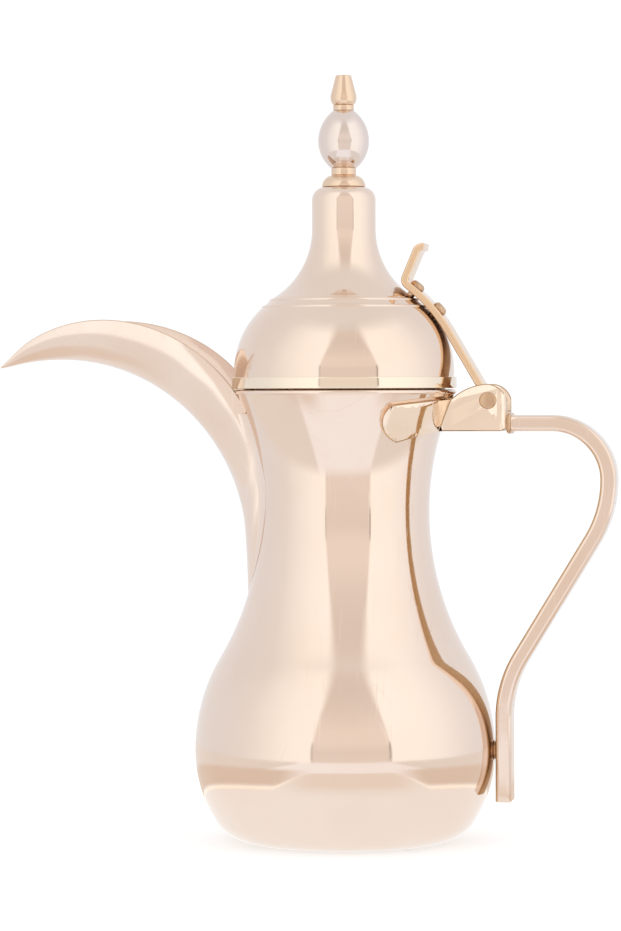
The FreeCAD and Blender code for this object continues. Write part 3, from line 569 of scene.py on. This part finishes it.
def slide(values, place):
    # smooth run through the stations, as a Catmull-Rom curve
    i = min(int(place), len(values) - 2)
    t = place - i
    a = values[i - 1] if i > 0 else 2 * values[0] - values[1]
    b, c = values[i], values[i + 1]
    d = values[i + 2] if i + 2 < len(values) else 2 * values[-1] - values[-2]
    return b + 0.5 * t * (c - a + t * (2 * a - 5 * b + 4 * c - d + t * (3 * (b - c) + d - a)))


def troughAt(place):
    return [slide([s[k] for s in stations], place) for k in range(4)]


def troughPoint(place, turn, inset=0.0):
    bottom, top, half, wall = troughAt(place)
    low = bottom + (top - bottom).normalized() * wall * inset
    return top + (low - top) * cos(turn) + Vector((0, (half - wall * inset) * sin(turn), 0))


def beakMesh():
    rings = (len(stations) - 1) * beak["between"]
    turns = [radians(180 * k / beak["across"] - 90) for k in range(beak["across"] + 1)]
    points = []
    for ring in range(rings + 1):
        place = ring / beak["between"]
        outer = [troughPoint(place, t) for t in turns]
        inner = [troughPoint(place, t, 1.0) for t in turns][::-1]
        bottom, top, _, wall = troughAt(place)
        rise = (top - bottom).normalized() * wall * beak["lip"]
        lips = [[a.lerp(b, share) + rise * up for share, up in beak["lipShape"]]
                for a, b in ((outer[-1], inner[0]), (inner[-1], outer[0]))]
        points += [p * mm for p in outer + lips[0] + inner + lips[1]]
    half = len(turns)
    size = 2 * half + 6
    faces = bandFaces(rings, size)
    for base in (0, rings * size):
        # caps: strips between the outer and inner curves, then the lips
        last = base + 2 * half + 2
        faces += [(base + k, base + k + 1, last - 1 - k, last - k) for k in range(half - 1)]
        faces += [tuple(range(base + half - 1, base + half + 4)), (last, last + 1, last + 2, last + 3, base)]
    return coated(rawObject("beakSpout", points, (), faces), finish["beak"])


rimCrown = rimRoll[:21]  # the roll as far as its inner shoulder
envelope = turned("bodyEnvelope", [(0.0, 0.0)] + outside + rimCrown + [(0.0, rimCrown[-1][1])],
                  "body", 192, closed=False)
beakSpout = cutBy(smoothMesh(beakMesh()), envelope)
settle(beakSpout, "pot", "rose_gold", "spout")

# braze fillet down both sides where the beak meets the neck, worked out level by level
fillet = {"size": 3.2, "share": 0.45, "start": 97.0, "step": 1.5, "levels": 48, "leastRoom": 0.4, "spread": 1.3,
          "lift": 0.02, "sink": 0.6, "rows": 8, "turnEnd": 89.5, "turnLast": 89.0}


def beakAt(height, turn):
    low, high = 0.0, 6.0
    for _ in range(22):
        middle = (low + high) / 2
        low, high = (middle, high) if troughPoint(middle, turn).z < height else (low, middle)
    return troughPoint(low, turn)


def turnWhere(height, gap):
    near, far = 0.0, radians(fillet["turnEnd"])
    for _ in range(18):
        middle = (near + far) / 2
        spot = beakAt(height, middle)
        clear = hypot(spot.x, spot.y) - neckRadius(height) > gap
        near, far = (middle, far) if clear else (near, middle)
    return near


def neckSpot(height, bearing, lift):
    radius = neckRadius(height) + lift
    return Vector((-radius * cos(bearing), radius * sin(bearing), height))


def filletMesh():
    levels = []
    for step in range(fillet["levels"]):
        height = fillet["start"] + fillet["step"] * step
        radius = neckRadius(height)
        room = -beakAt(height, 0.0).x - radius
        edge = turnWhere(height, 0.0)
        if room < fillet["leastRoom"] or edge > radians(fillet["turnLast"]):
            continue
        size = min(fillet["size"], fillet["share"] * room)
        joint, onBeak = beakAt(height, edge), beakAt(height, turnWhere(height, size))
        bearing = atan2(joint.y, -joint.x)
        foot = neckSpot(height, bearing + fillet["spread"] * size / radius, fillet["lift"])
        levels.append(roundedCorner(onBeak, joint, foot, fillet["rows"])
                      + [neckSpot(height, bearing, -fillet["sink"])])
    size, count = len(levels[0]), len(levels)
    spots, faces = [], []
    for side in (1, -1):
        first = len(spots)
        spots += [Vector((p.x, side * p.y, p.z)) * mm for level in levels for p in level]
        faces += bandFaces(count - 1, size, first)
        faces += [tuple(range(end, end + size)) for end in (first, first + (count - 1) * size)]
    return coated(rawObject("beakFillet", spots, (), faces), finish["beak"])


beakFillet = smoothMesh(filletMesh())
settle(beakFillet, "pot", "rose_gold")
print("beak spout lofted and brazed on")

# lid: dome, two beads on a short cone, bell and chimney
lid = {"base": 177.3, "wall": 1.2, "domeRadius": 43.2, "domeSpring": 184.3, "domeArc": 33.2, "ringLow": 208.2,
       "ringHigh": 213.0, "bead": 0.8, "beadRise": 0.45, "beadsAt": (0.22, 0.78), "bellArc": 31.7,
       "bellHeight": 240.0, "chimney": 12.5, "shoulder": 5.0, "top": 256.2, "stud": 2.05, "segments": 256,
       "edgeRows": 4, "arcRows": 60, "coneRows": 40}
domeCentre = Vector((lid["domeRadius"] - lid["domeArc"], lid["domeSpring"]))
bellCentre = Vector((lid["chimney"] + lid["bellArc"], lid["bellHeight"]))


def lidSkin(depth, beads):
    rows, rise = lid["edgeRows"], lid["domeSpring"] - lid["base"]
    skin = [(lid["domeRadius"] - depth, lid["base"] + rise * k / rows) for k in range(rows)]
    last = degrees(asin((lid["ringLow"] - domeCentre.y) / lid["domeArc"]))
    skin += arcPoints(domeCentre, lid["domeArc"] - depth, 0, last, lid["arcRows"])
    first = degrees(asin((lid["ringHigh"] - bellCentre.y) / lid["bellArc"]))
    bell = arcPoints(bellCentre, lid["bellArc"] + depth, 180 - first, 180, lid["arcRows"])
    start, stop = Vector(skin[-1]), Vector(bell[0])
    way = (stop - start).normalized()
    normal = Vector((way.y, -way.x))
    length = (stop - start).length
    for k in range(1, lid["coneRows"]):
        run = length * k / lid["coneRows"]
        lift = 0.0
        for share in lid["beadsAt"]:
            off = run - share * length
            if abs(off) < lid["bead"]:
                lift = max(lift, sqrt(lid["bead"] ** 2 - off ** 2) - lid["bead"] + lid["beadRise"])
        skin.append(tuple(start + way * run + normal * lift * beads))
    corner = (lid["chimney"] - lid["shoulder"], lid["top"] - lid["shoulder"])
    return skin + bell + arcPoints(corner, lid["shoulder"] - depth, 0, 90, 15)


outerSkin, innerSkin = lidSkin(0.0, 1.0), lidSkin(lid["wall"], 0.0)
seam = lid["edgeRows"] + lid["arcRows"] + 1
lidDome = turned("lidDome", outerSkin[:seam] + innerSkin[:seam][::-1], "lid", lid["segments"])
settle(lidDome, "lid", "rose_gold", "lid_dome")
lidBell = turned("lidBell", outerSkin[seam - 1:] + [(lid["stud"], lid["top"]), (lid["stud"], lid["top"] - lid["wall"])]
                 + innerSkin[seam - 1:][::-1], "lid", lid["segments"])
settle(lidBell, "lid", "rose_gold", "lid_bell")

band = {"height": 4.4, "thickness": 0.9, "gap": 0.05}
bandInside = lid["domeRadius"] + band["gap"]
bandOutside, bandTop = bandInside + band["thickness"], lid["base"] + band["height"]
lidBand = turnedFrom("lidBand", hoop(bandInside, bandOutside, lid["base"], bandTop), "band", ease=0.32, segments=256)
settle(lidBand, "lid", "rose_gold", "lid_band")

sleeve = {"depth": 6.5, "wall": 1.0, "clearance": 0.6}
sleeveFoot = lid["base"] - sleeve["depth"]
sleeveTop = lid["base"] + sleeve["wall"]
sleeveRadius = neckRadius(sleeveFoot, body["wall"]) - sleeve["clearance"]
sleeveBore = sleeveRadius - sleeve["wall"]
sleeveEdge = lid["domeRadius"] - lid["wall"] - band["gap"]
lidSleeve = turnedFrom("lidSleeve", [
    (sleeveBore, sleeveFoot), (sleeveRadius, sleeveFoot), (sleeveRadius, lid["base"]), (sleeveEdge, lid["base"]),
    (sleeveEdge, sleeveTop), (sleeveBore, sleeveTop)], "lid", ease=0.25, segments=192)
settle(lidSleeve, "lid", "rose_gold", "lid_sleeve")
print("lid turned")

# finial, stacked on a stud: radii first, then heights
finial = {"flange": (8.6, 4.6), "collar": (4.9, 2.9), "bulb": (10.0, 5.1, 4.1, 10.5, 11.9), "ring": (4.1, 2.1),
          "tip": (5.1, 3.9, 3.0, 2.8, 8.9), "tipBand": 0.9, "studInTip": 7.0, "nut": (7.0, 3.2), "chamfer": 0.35,
          "tail": 1.6, "washer": (5.5, 1.0)}
bore = lid["stud"]
flangeRadius, flangeRise = finial["flange"]
collarRadius, collarRise = finial["collar"]
bulbRadius, bulbLow, bulbHigh, bulbRise, bulbFall = finial["bulb"]
ringRadius, ringRise = finial["ring"]
tipRadius, tipLow, tipHigh, tipRise, tipFall = finial["tip"]
flangeTop = lid["top"] + flangeRise
bulbFoot = flangeTop + collarRise
bulbMiddle = bulbFoot + bulbRise
bulbTop = bulbMiddle + bulbFall
tipFoot = bulbTop + ringRise
tipMiddle = tipFoot + tipRise
tipTop = tipMiddle + tipFall
studTop = tipFoot + finial["studInTip"]


def chordBend(rise, run):
    return (rise ** 2 + run ** 2) / (2 * rise)


finialPieces = {
    "finial_flange": [(bore, lid["top"]),
                      (flangeRadius, lid["top"], chordBend(flangeRadius - collarRadius, flangeRise)),
                      (collarRadius, flangeTop), (bore, flangeTop)],
    "finial_collar": hoop(bore, collarRadius, flangeTop, bulbFoot),
    "finial_bulb": [(bore, bulbFoot), (bulbLow, bulbFoot, chordBend(bulbRadius - bulbLow, bulbRise)),
                    (bulbRadius, bulbMiddle, chordBend(bulbRadius - bulbHigh, bulbFall)),
                    (bulbHigh, bulbTop), (bore, bulbTop)],
    "finial_ring": hoop(bore, ringRadius, bulbTop, tipFoot),
    "finial_tip": [(bore, tipFoot), (tipLow, tipFoot, chordBend(tipRadius - tipLow, tipRise)),
                   (tipRadius, tipMiddle), (tipRadius, tipMiddle + finial["tipBand"]),
                   (tipHigh, tipTop), (0.0, tipTop), (0.0, studTop), (bore, studTop)],
}
for node, corners in finialPieces.items():
    piece = turnedFrom(node.replace("finial_", "finialPiece_"), corners,
                       "bulb" if node == "finial_bulb" else "finial", ease=0.35, segments=128)
    settle(piece, "lid", "rose_gold", node)

thread = {"pitch": 0.7, "root": (1.7, 0.3), "crest": (2.0, 0.65)}
washerRadius, washerRise = finial["washer"]
washerFoot = lid["top"] - lid["wall"] - washerRise
nutFoot = washerFoot - finial["nut"][1]
studFoot = nutFoot - finial["tail"]
studPoints = [(0.0, studFoot)]
for k in range(int((washerFoot - studFoot) / thread["pitch"])):
    studPoints += [(radius, studFoot + up + thread["pitch"] * k) for radius, up in (thread["root"], thread["crest"])]
studRadius = thread["crest"][0]
studPoints += [(studRadius, washerFoot), (studRadius, studTop), (0.0, studTop)]
finialStud = turned("finialStud", studPoints, "steel", 48, False)
settle(finialStud, "lid", "steel", "finial_stud")
finialWasher = turnedFrom("finialWasher", hoop(bore, washerRadius, washerFoot, washerFoot + washerRise),
                          "steel", ease=0.15, segments=64)
settle(finialWasher, "lid", "steel", "finial_washer")

# six-sided, so turned in six steps
nutCorner, nutEased = finial["nut"][0] / (2 * cos(radians(30))), finial["nut"][0] / 2 * 0.98
finialNut = turned("finialNut", [
    (nutEased, nutFoot), (nutCorner, nutFoot + finial["chamfer"]), (nutCorner, washerFoot - finial["chamfer"]),
    (nutEased, washerFoot), (bore, washerFoot), (bore, nutFoot)], "steel", 6)
sharpen(finialNut, 20)
settle(finialNut, "lid", "steel", "finial_nut")
print("finial stacked")


# flat bars bent in the XZ plane: (length,) runs straight on, (radius, angle) bends
def bentPath(start, heading, steps, piece=0.8):
    here, way = Vector((start[0], 0, start[1])), radians(heading)
    points = [here.copy()]
    for step in steps:
        if len(step) == 1:
            pieces = max(1, int(step[0] / 3))
            for _ in range(pieces):
                here = here + Vector((cos(way), 0, sin(way))) * step[0] / pieces
                points.append(here.copy())
            continue
        radius, turn = step
        side = copysign(1, turn)
        centre = here + Vector((-sin(way), 0, cos(way))) * radius * side
        pieces = max(4, int(abs(radians(turn)) * radius / piece))
        for k in range(1, pieces + 1):
            angle = way + radians(turn) * k / pieces
            points.append(centre + Vector((sin(angle), 0, -cos(angle))) * radius * side)
        way += radians(turn)
        here = points[-1].copy()
    return points


def barSection(name, look):
    corners = roundedBox(look["width"], look["thick"], look["corner"], 6)
    spots = []
    for spot, after in zip(corners, corners[1:] + corners[:1]):
        spots.append(spot)
        if dist(spot, after) > 2:
            spots += [tuple(Vector(spot).lerp(Vector(after), k / 8)) for k in range(1, 8)]
    return rawObject(name, [(x * mm, y * mm, 0) for x, y in spots], chain(len(spots), True))


def swept(name, path, section, metal, closed=False):
    made = rawObject(name, [p * mm for p in path], chain(len(path), closed))
    throughTree(made, "bar", {"Section": section, "Finish": finish[metal]})
    bpy.data.objects.remove(section)
    return made


barEdge = {"ease": 0.4, "steps": 3, "angle": 60, "sharp": 40}


def bar(name, path, section, metal):
    made = smoothMesh(swept(name, path, section, metal), barEdge["sharp"])
    return sharpen(bevelled(made, barEdge["ease"], barEdge["steps"], barEdge["angle"]), barEdge["sharp"])


# handle bar, from the bracket down to the belly
handle = {"thick": 6.2, "width": 13.0, "corner": 1.6, "reach": 107.2, "top": 163.6, "topBend": 22.0,
          "backBend": 45.0, "footBend": 45.0, "slope": 31.3, "footHeight": 16.2, "footGap": 1.1, "start": 65.35}
slope = radians(handle["slope"])
barReach = handle["reach"] - handle["thick"] / 2
footReach = body["bellyRadius"] + handle["footGap"] + handle["thick"] / 2
bends = handle["backBend"] + handle["footBend"]
slopeRun = (barReach - footReach - bends * (1 - cos(slope))) / sin(slope)
footTop = handle["top"] - handle["topBend"] - bends * sin(slope) - slopeRun * cos(slope)
handlePath = bentPath((handle["start"], handle["top"]), 0, [
    (barReach - handle["topBend"] - handle["start"],), (handle["topBend"], -90),
    (handle["backBend"], -handle["slope"]), (slopeRun,), (handle["footBend"], handle["slope"]),
    (footTop - handle["footHeight"],)])
handleBar = bar("handleBar", handlePath, barSection("handleSection", handle), "handle")
settle(handleBar, "pot", "rose_gold_fittings", "handle")

# braze bead where the bar meets the bracket
bead = {"radius": 0.95, "lump": 0.35, "lumpSize": 420, "out": 0.25, "corner": 1.2, "step": 0.6}
beadPlace = Vector((handle["start"] + bead["out"], 0, handle["top"]))
beadLoop = [beadPlace + Vector((0, y, z))
            for y, z in roundedBox(handle["width"], handle["thick"], bead["corner"], 5)]
beadPath = []
for spot, after in zip(beadLoop, beadLoop[1:] + beadLoop[:1]):
    pieces = max(1, int((after - spot).length / bead["step"]))
    beadPath += [spot.lerp(after, k / pieces) for k in range(pieces)]
beadRing = arcPoints((0, 0), bead["radius"], 0, 336, 14)
beadSection = rawObject("beadSection", [(x * mm, y * mm, 0) for x, y in beadRing], chain(len(beadRing), True))
handleBead = smoothMesh(swept("handleBead", beadPath, beadSection, "peened", True))
for vertex in handleBead.data.vertices:
    ripple = noise.noise(vertex.co * bead["lumpSize"]) * bead["lump"] * mm
    vertex.co += (vertex.co - beadPlace * mm).normalized() * ripple
settle(handleBead, "pot", "rose_gold_fittings")

# braze pad at the foot of the handle, a short waisted plug from belly to bar
pad = {"radius": 4.0, "height": 36.0, "sink": 0.6, "start": -0.2, "waist": 0.5}
padRun = handle["footGap"] - pad["start"]
padPoints = [(0.0, -pad["sink"]), (pad["radius"], -pad["sink"])]
padPoints += [(pad["radius"] - pad["waist"] * sin(pi * k / 8), pad["start"] + padRun * k / 8)
              for k in range(9)]
footPad = turned("footPad", padPoints + [(0.0, handle["footGap"])], "peened", 64, closed=False)
moved(footPad, Matrix.Translation((body["bellyRadius"] * mm, 0, pad["height"] * mm))
      @ Matrix.Rotation(radians(90), 4, "Y"))
settle(footPad, "pot", "rose_gold_fittings", "handle_foot_pad")

# strap and thumb tab on the lid
strap = {"width": 14.0, "thick": 2.8, "corner": 0.6, "pin": (57.8, 172.5), "lean": 120.5, "topLean": 142.0,
         "clear": 1.1, "topReach": 3.0, "endRun": 1.0, "eye": 4.8, "eyeSkip": 3.4, "bore": 2.46, "tabBend": 2.6,
         "tabTurn": 75.0, "tabRun": 11.2, "curl": 2.6, "curlTurn": 80.0}
ringStop = Vector(outerSkin[seam + lid["coneRows"] - 1])  # where the cone ends and the bell starts
leanWay, topWay = [Vector((cos(radians(a)), sin(radians(a))))
                   for a in (strap["lean"], strap["topLean"])]
lift = strap["clear"] + strap["thick"] / 2
strapEnd = ringStop + lift * Vector((topWay.y, -topWay.x)) + strap["topReach"] * topWay
span = strapEnd - Vector(strap["pin"])
strapTurn = radians(strap["topLean"] - strap["lean"])
toCorner = (span.x * topWay.y - span.y * topWay.x) / sin(strapTurn)
pastCorner = (span.y * leanWay.x - span.x * leanWay.y) / sin(strapTurn)
strapArc = pastCorner / tan(strapTurn / 2)
strapPath = bentPath(Vector(strap["pin"]) + leanWay * strap["eyeSkip"], strap["lean"], [
    (toCorner - pastCorner - strap["eyeSkip"],), (strapArc, degrees(strapTurn)), (strap["endRun"],),
    (strap["tabBend"], -strap["tabTurn"]), (strap["tabRun"],), (strap["curl"], -strap["curlTurn"])], 0.25)
strapBar = bar("strapBar", strapPath, barSection("strapSection", strap), "strap")
strapEye = turnedFrom("strapEye", hoop(strap["bore"], strap["eye"], -strap["width"] / 2, strap["width"] / 2),
                      "strap", ease=0.4, segments=96)
alongPin = (Matrix.Translation((strap["pin"][0] * mm, 0, strap["pin"][1] * mm))
            @ Matrix.Rotation(radians(-90), 4, "X"))
lidStrap = joined("lidStrap", [strapBar, moved(strapEye, alongPin)])
settle(lidStrap, "lid", "rose_gold_fittings", "lid_strap")


def onPoints(name, places, axes, fastener, metal, sharp=35):
    made = rawObject(name, [p * mm for p in places])
    for point, axis in zip(made.data.attributes.new("axis", "FLOAT_VECTOR", "POINT").data, axes):
        point.vector = axis
    throughTree(made, "fasteners", {"Fastener": fastener, "Finish": finish[metal]})
    bpy.data.objects.remove(fastener)
    return smoothMesh(made, sharp)


# rivets through strap and lid: places give the angle back from the strap's end and the grip
rivet = {"radius": 1.5, "head": 3.0, "headTop": 2.0, "rim": (0.5, 2.2), "crown": (1.9, 1.85, 9.0), "tail": 2.3,
         "tailHeight": 0.8, "places": ((1.6, 5.7), (13.0, 4.75)), "dent": 0.03, "dentSize": 900, "dentFrom": 0.2}
arcCentre = strapEnd + strapArc * Vector((-topWay.y, topWay.x))
rivets = []
for number, (back, grip) in enumerate(rivet["places"], start=1):
    lean = radians(strap["topLean"] - back)
    outWay = Vector((sin(lean), 0, -cos(lean)))
    spot = Vector((arcCentre.x, 0, arcCentre.y)) + outWay * (strapArc + strap["thick"] / 2)
    tailEnd = -grip - rivet["tailHeight"]
    shank = turnedFrom(f"rivet{number}", [
        (0.0, tailEnd), (rivet["tail"], tailEnd), (rivet["tail"], -grip), (rivet["radius"], -grip),
        (rivet["radius"], 0.0), (rivet["head"], 0.0), (rivet["head"], *rivet["rim"]), rivet["crown"],
        (0.0, rivet["headTop"])], "peened", ease=0.15, segments=64, closed=False, step=5)
    for vertex in shank.data.vertices:  # hammered heads
        if vertex.co.z > rivet["dentFrom"] * mm:
            dent = noise.noise(vertex.co * rivet["dentSize"] + Vector((number * 7, 0, 0)))
            vertex.co *= 1 - rivet["dent"] * max(dent, 0)
    rivets.append(onPoints(f"rivetPoints{number}", [spot], [outWay], shank, "peened", 40))
lidRivets = joined("lidRivets", rivets)
settle(lidRivets, "lid", "rose_gold_fittings", "lid_rivets")
print("handle, strap and rivets set")

# hinge pin with peened heads, and its washers
# crown gives steps in from the head's edge and down from its end
pin = {"radius": 2.4, "head": 3.3, "headHeight": 1.2, "halfYoke": 9.48, "washer": (2.46, 4.2, 0.6),
       "washerLow": 7.08, "crown": ((0.0, 0.65), (0.5, 0.2), (2.7, 0.02), (3.3, 0.0))}
far = pin["halfYoke"] + pin["headHeight"]
halfPin = [(pin["radius"], pin["halfYoke"]), (pin["head"], pin["halfYoke"])]
halfPin += [(pin["head"] - inward, far - drop) for inward, drop in pin["crown"]]
bothEnds = [(r, -z) for r, z in halfPin[::-1]] + halfPin
hingePin = turnedFrom("hingePin", bothEnds, "peened", ease=0.25, segments=96, closed=False)
moved(hingePin, alongPin)
settle(hingePin, "pot", "rose_gold_fittings", "hinge_pin")

washerBore, washerEdge, washerThick = pin["washer"]
washerShape = turnedFrom("washerShape", hoop(washerBore, washerEdge, 0.0, washerThick), "steel", ease=0.12, segments=64)
washerPlaces = [Vector((strap["pin"][0], side * pin["washerLow"], strap["pin"][1])) for side in (1, -1)]
hingeWashers = onPoints("hingeWashers", washerPlaces, [(0, 1, 0), (0, -1, 0)], washerShape, "steel")
settle(hingeWashers, "pot", "steel", "hinge_washers")

# bracket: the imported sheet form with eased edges
bracket = {"ease": 0.38, "merge": 0.15, "flat": 1.0, "sharp": 60.0}
hingeBracket = bpy.data.objects.new("hingeBracket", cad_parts["hinge_yoke"].data.copy())
bpy.context.scene.collection.objects.link(hingeBracket)
coated(hingeBracket, finish["fitting"])
hingeBracket.data.materials.append(finish["fitting"])  # the second slot only marks the eased edges
shape = bmesh.new()
shape.from_mesh(hingeBracket.data)
bmesh.ops.remove_doubles(shape, verts=shape.verts, dist=bracket["merge"] * mm)
bmesh.ops.dissolve_degenerate(shape, dist=bracket["merge"] * mm, edges=shape.edges)
bmesh.ops.dissolve_limit(shape, angle_limit=radians(bracket["flat"]), verts=shape.verts, edges=shape.edges)
for face in shape.faces:
    face.smooth = True
shape.to_mesh(hingeBracket.data)
shape.free()
bevelled(hingeBracket, bracket["ease"], 2, bracket["sharp"], harden_normals=True, use_clamp_overlap=False, material=1)
# the eased faces take the painted dark reflection of the fitting finish
eased = [float(face.material_index) for face in hingeBracket.data.polygons]
hingeBracket.data.attributes.new("edge", "FLOAT", "FACE").data.foreach_set("value", eased)
coated(hingeBracket, finish["fitting"])
settle(hingeBracket, "pot", "rose_gold_fittings", "hinge_yoke")
print("hinge built")

# floor, light and camera: camera in millimetres and pixels, stage in metres, light in degrees from the camera's bearing
studio = {"distance": 1351.0, "yaw": 9.5, "eye": 177.5, "focal": 3440.0, "axis": 344.5, "horizon": 388.0,
          "roll": -0.17, "image": (621, 931), "sensor": 24.0, "backdrop": (1.05, 1.05, 1.05)}
floorLook = {"size": 0.75, "fade": (0.46, 0.66), "paint": 0.80, "glow": 0.36}
table = {"size": 0.60, "fade": (0.42, 0.54), "half": (0.150, 0.27, 0.012), "stripStart": (0.03, 0.08),
         "rest": (0.91, 0.875, 0.85), "strip": (1.09, 1.10, 1.14), "side": (0.84, 0.735, 0.65),
         "apron": (0.95, 0.885, 0.83), "disc": (1.04, 1.05, 1.06), "line": (1.22, 1.18, 1.10),
         "turn": (24.0, 50.0), "edge": (0.195, 0.118), "soft": 0.008, "lineWidth": (0.007, 0.002),
         "sideEnd": (0.20, 0.26), "apronStart": (0.085, 0.125)}
light = {"shift": 4.5, "gapLow": 30.0, "gapHigh": 20.0, "gapRise": (0.0, 0.8), "edge": (1.6, 8.0),
         "edgeRise": (0.35, 0.85), "warmTint": (1.0, 1.0, 0.985), "coolTint": (0.985, 0.99, 1.02),
         "coolFrom": (60.0, 110.0), "gapTint": (1.0, 0.925, 0.87), "overhead": (0.90, 0.895, 0.885),
         "overheadRise": (0.72, 0.96), "frame": (1.1, 0.44), "frameRise": (0.13, 0.065), "frameHeight": 0.02,
         "frameTone": (0.14, 0.09, 0.06), "frameTurn": (-5.0, 5.0), "frameShare": (0.40, 0.35),
         "panel": [(-180, 0.93), (-150, 0.91), (-115, 0.91), (-85, 0.94), (-62, 1.08), (-44, 1.17), (-24, 1.22),
                   (28, 1.24), (62, 1.20), (82, 1.13), (104, 1.01), (122, 0.94), (150, 0.91), (180, 0.93)],
         "gap": [(0.0, 0.95), (0.40, 0.94), (0.47, 0.92), (0.515, 0.90), (0.56, 0.98), (0.63, 0.98),
                 (0.74, 0.88), (0.82, 0.84), (0.93, 0.86)]}
yaw = radians(studio["yaw"])
front = Vector((sin(yaw), -cos(yaw), 0))
aside = Vector((cos(yaw), sin(yaw), 0))
perRadian = 180 / pi


def ground(name, size, paintName):
    corners = ((-size, -size, 0), (size, -size, 0), (size, size, 0), (-size, size, 0))
    made = rawObject(name, corners, (), [(0, 1, 2, 3)])
    made.data.materials.append(bpy.data.materials.new(paintName))
    start = shaderOf(made.data.materials[0])
    spot = start.node("ShaderNodeTexCoord", out="Object")
    return made, start, spot, start.vector("LENGTH", spot, out="Value")


def painted(start, reach, fade, sockets):
    skin = start.node("ShaderNodeBsdfPrincipled", None, {**sockets, "Alpha": start.between(reach, fade[1], fade[0])})
    start.node("ShaderNodeOutputMaterial", None, {"Surface": skin})


floor, paint, _, reach = ground("floor", floorLook["size"], "paleFloor")
painted(paint, reach, floorLook["fade"], {
    "Base Color": (floorLook["paint"],) * 3 + (1,), "Roughness": 0.7, "Specular IOR Level": 0.2,
    "Emission Color": (1, 1, 1, 1), "Emission Strength": floorLook["glow"]})
floor.visible_glossy = False

# what the polished metal sees in place of the floor: a lit table top
tableCard, card, spot, reach = ground("tableCard", table["size"], "tableGlow")
across, ahead = [card.vector("DOT_PRODUCT", spot, tuple(way), out="Value") for way in (aside, front)]
bearing = abs(card.sum("ARCTAN2", across, ahead) * perRadian - light["shift"])
sideways = card.between(bearing, *table["turn"])
border = sideways * (table["edge"][1] - table["edge"][0]) + table["edge"][0]
halfNear, halfSlope, halfSoft = table["half"]
beyond = abs(across) - ahead * halfSlope - halfNear
strip = card.between(beyond, halfSoft, -halfSoft) * card.between(ahead, *table["stripStart"])
tone = card.blended(strip, table["rest"], table["strip"])
tone = card.blended(card.between(reach, *table["sideEnd"][::-1]) * sideways, tone, table["side"])
near = card.blended(card.between(reach, *table["apronStart"]), table["disc"], table["apron"])
near = card.blended(sideways, near, table["disc"])
tone = card.blended(card.between(reach - border, table["soft"], -table["soft"]), tone, near)
rimLine = card.between(abs(reach - border + table["soft"]), *table["lineWidth"])
tone = card.blended(rimLine * sideways, tone, table["line"])
painted(card, reach, table["fade"], {
    "Base Color": (0, 0, 0, 1), "Roughness": 1.0, "Specular IOR Level": 0.0,
    "Emission Color": tone, "Emission Strength": 1.0})
tableCard.visible_camera = tableCard.visible_diffuse = tableCard.visible_shadow = False

# soft panels left and right, with a rosier gap between them in front
world = bpy.data.worlds.new("studio")
bpy.context.scene.world = world
sky = shaderOf(world)
way = sky.node("ShaderNodeTexCoord", out="Generated")
high = sky.along(way, "Z")
flat = sky.vector("NORMALIZE", sky.vector("MULTIPLY", way, (1.0, 1.0, 0.0)))
across, ahead = [sky.vector("DOT_PRODUCT", flat, tuple(side), out="Value") for side in (aside, front)]
turn = sky.sum("ARCTAN2", across, ahead) * perRadian
gapHalf = sky.between(high, *light["gapRise"], light["gapLow"], light["gapHigh"])
offEdge = abs(turn - light["shift"]) - gapHalf
# a ramp ends at one, so it holds half of each panel tone
panelStops = [((angle + 180) / 360, tone / 2) for angle, tone in light["panel"]]
panel = sky.node("ShaderNodeValToRGB", {"stops": panelStops}, {"Fac": turn * (1 / 360) + 0.5})
tint = sky.blended(sky.between(abs(turn), *light["coolFrom"]), light["warmTint"], light["coolTint"])
panel = sky.vector("MULTIPLY", panel, tint)
panel = sky.node("ShaderNodeVectorMath", {"operation": "SCALE"}, {0: panel, "Scale": 2.0})
gap = sky.node("ShaderNodeValToRGB", {"stops": light["gap"]}, {"Fac": high * 0.5 + 0.5})
gap = sky.vector("MULTIPLY", gap, light["gapTint"])
soft = sky.between(high, *light["edgeRise"], *light["edge"])
glow = sky.blended(sky.between(sky.sum("DIVIDE", offEdge, soft), 1.0, -1.0), panel, gap)
frameLine = sky.between(abs(offEdge), *light["frame"])
frameLow = sky.between(abs(high - light["frameHeight"]), *light["frameRise"])
frameShare = sky.between(turn, *light["frameTurn"]) * light["frameShare"][1] + light["frameShare"][0]
glow = sky.blended(frameLine * frameLow * frameShare, glow, light["frameTone"])
glow = sky.blended(sky.between(high, *light["overheadRise"]), glow, light["overhead"])
glow = sky.blended(sky.node("ShaderNodeLightPath", out="Is Camera Ray"), glow, studio["backdrop"])
backdrop = sky.node("ShaderNodeBackground", None, {"Color": glow, "Strength": 1.0})
sky.node("ShaderNodeOutputWorld", None, {"Surface": backdrop})

imageWide, imageTall = studio["image"]
lens = bpy.data.cameras.new("photoCamera")
lens.sensor_fit, lens.sensor_height = "VERTICAL", studio["sensor"]
lens.lens = studio["focal"] * studio["sensor"] / imageTall
lens.clip_end = 50
camera = bpy.data.objects.new("photoCamera", lens)
bpy.context.scene.collection.objects.link(camera)
eyeSpot = front * studio["distance"] * mm + Vector((0, 0, studio["eye"] * mm))
swing = atan((studio["axis"] - imageWide / 2) / studio["focal"])
down = atan((imageTall / 2 - studio["horizon"]) / studio["focal"])
camera.matrix_world = (Matrix.Translation(eyeSpot) @ Matrix.Rotation(yaw + swing, 4, "Z")
                       @ Matrix.Rotation(radians(90) - down, 4, "X")
                       @ Matrix.Rotation(radians(studio["roll"]), 4, "Z"))
bpy.context.scene.camera = camera
bpy.context.scene.view_settings.view_transform = "Standard"
print("studio set")
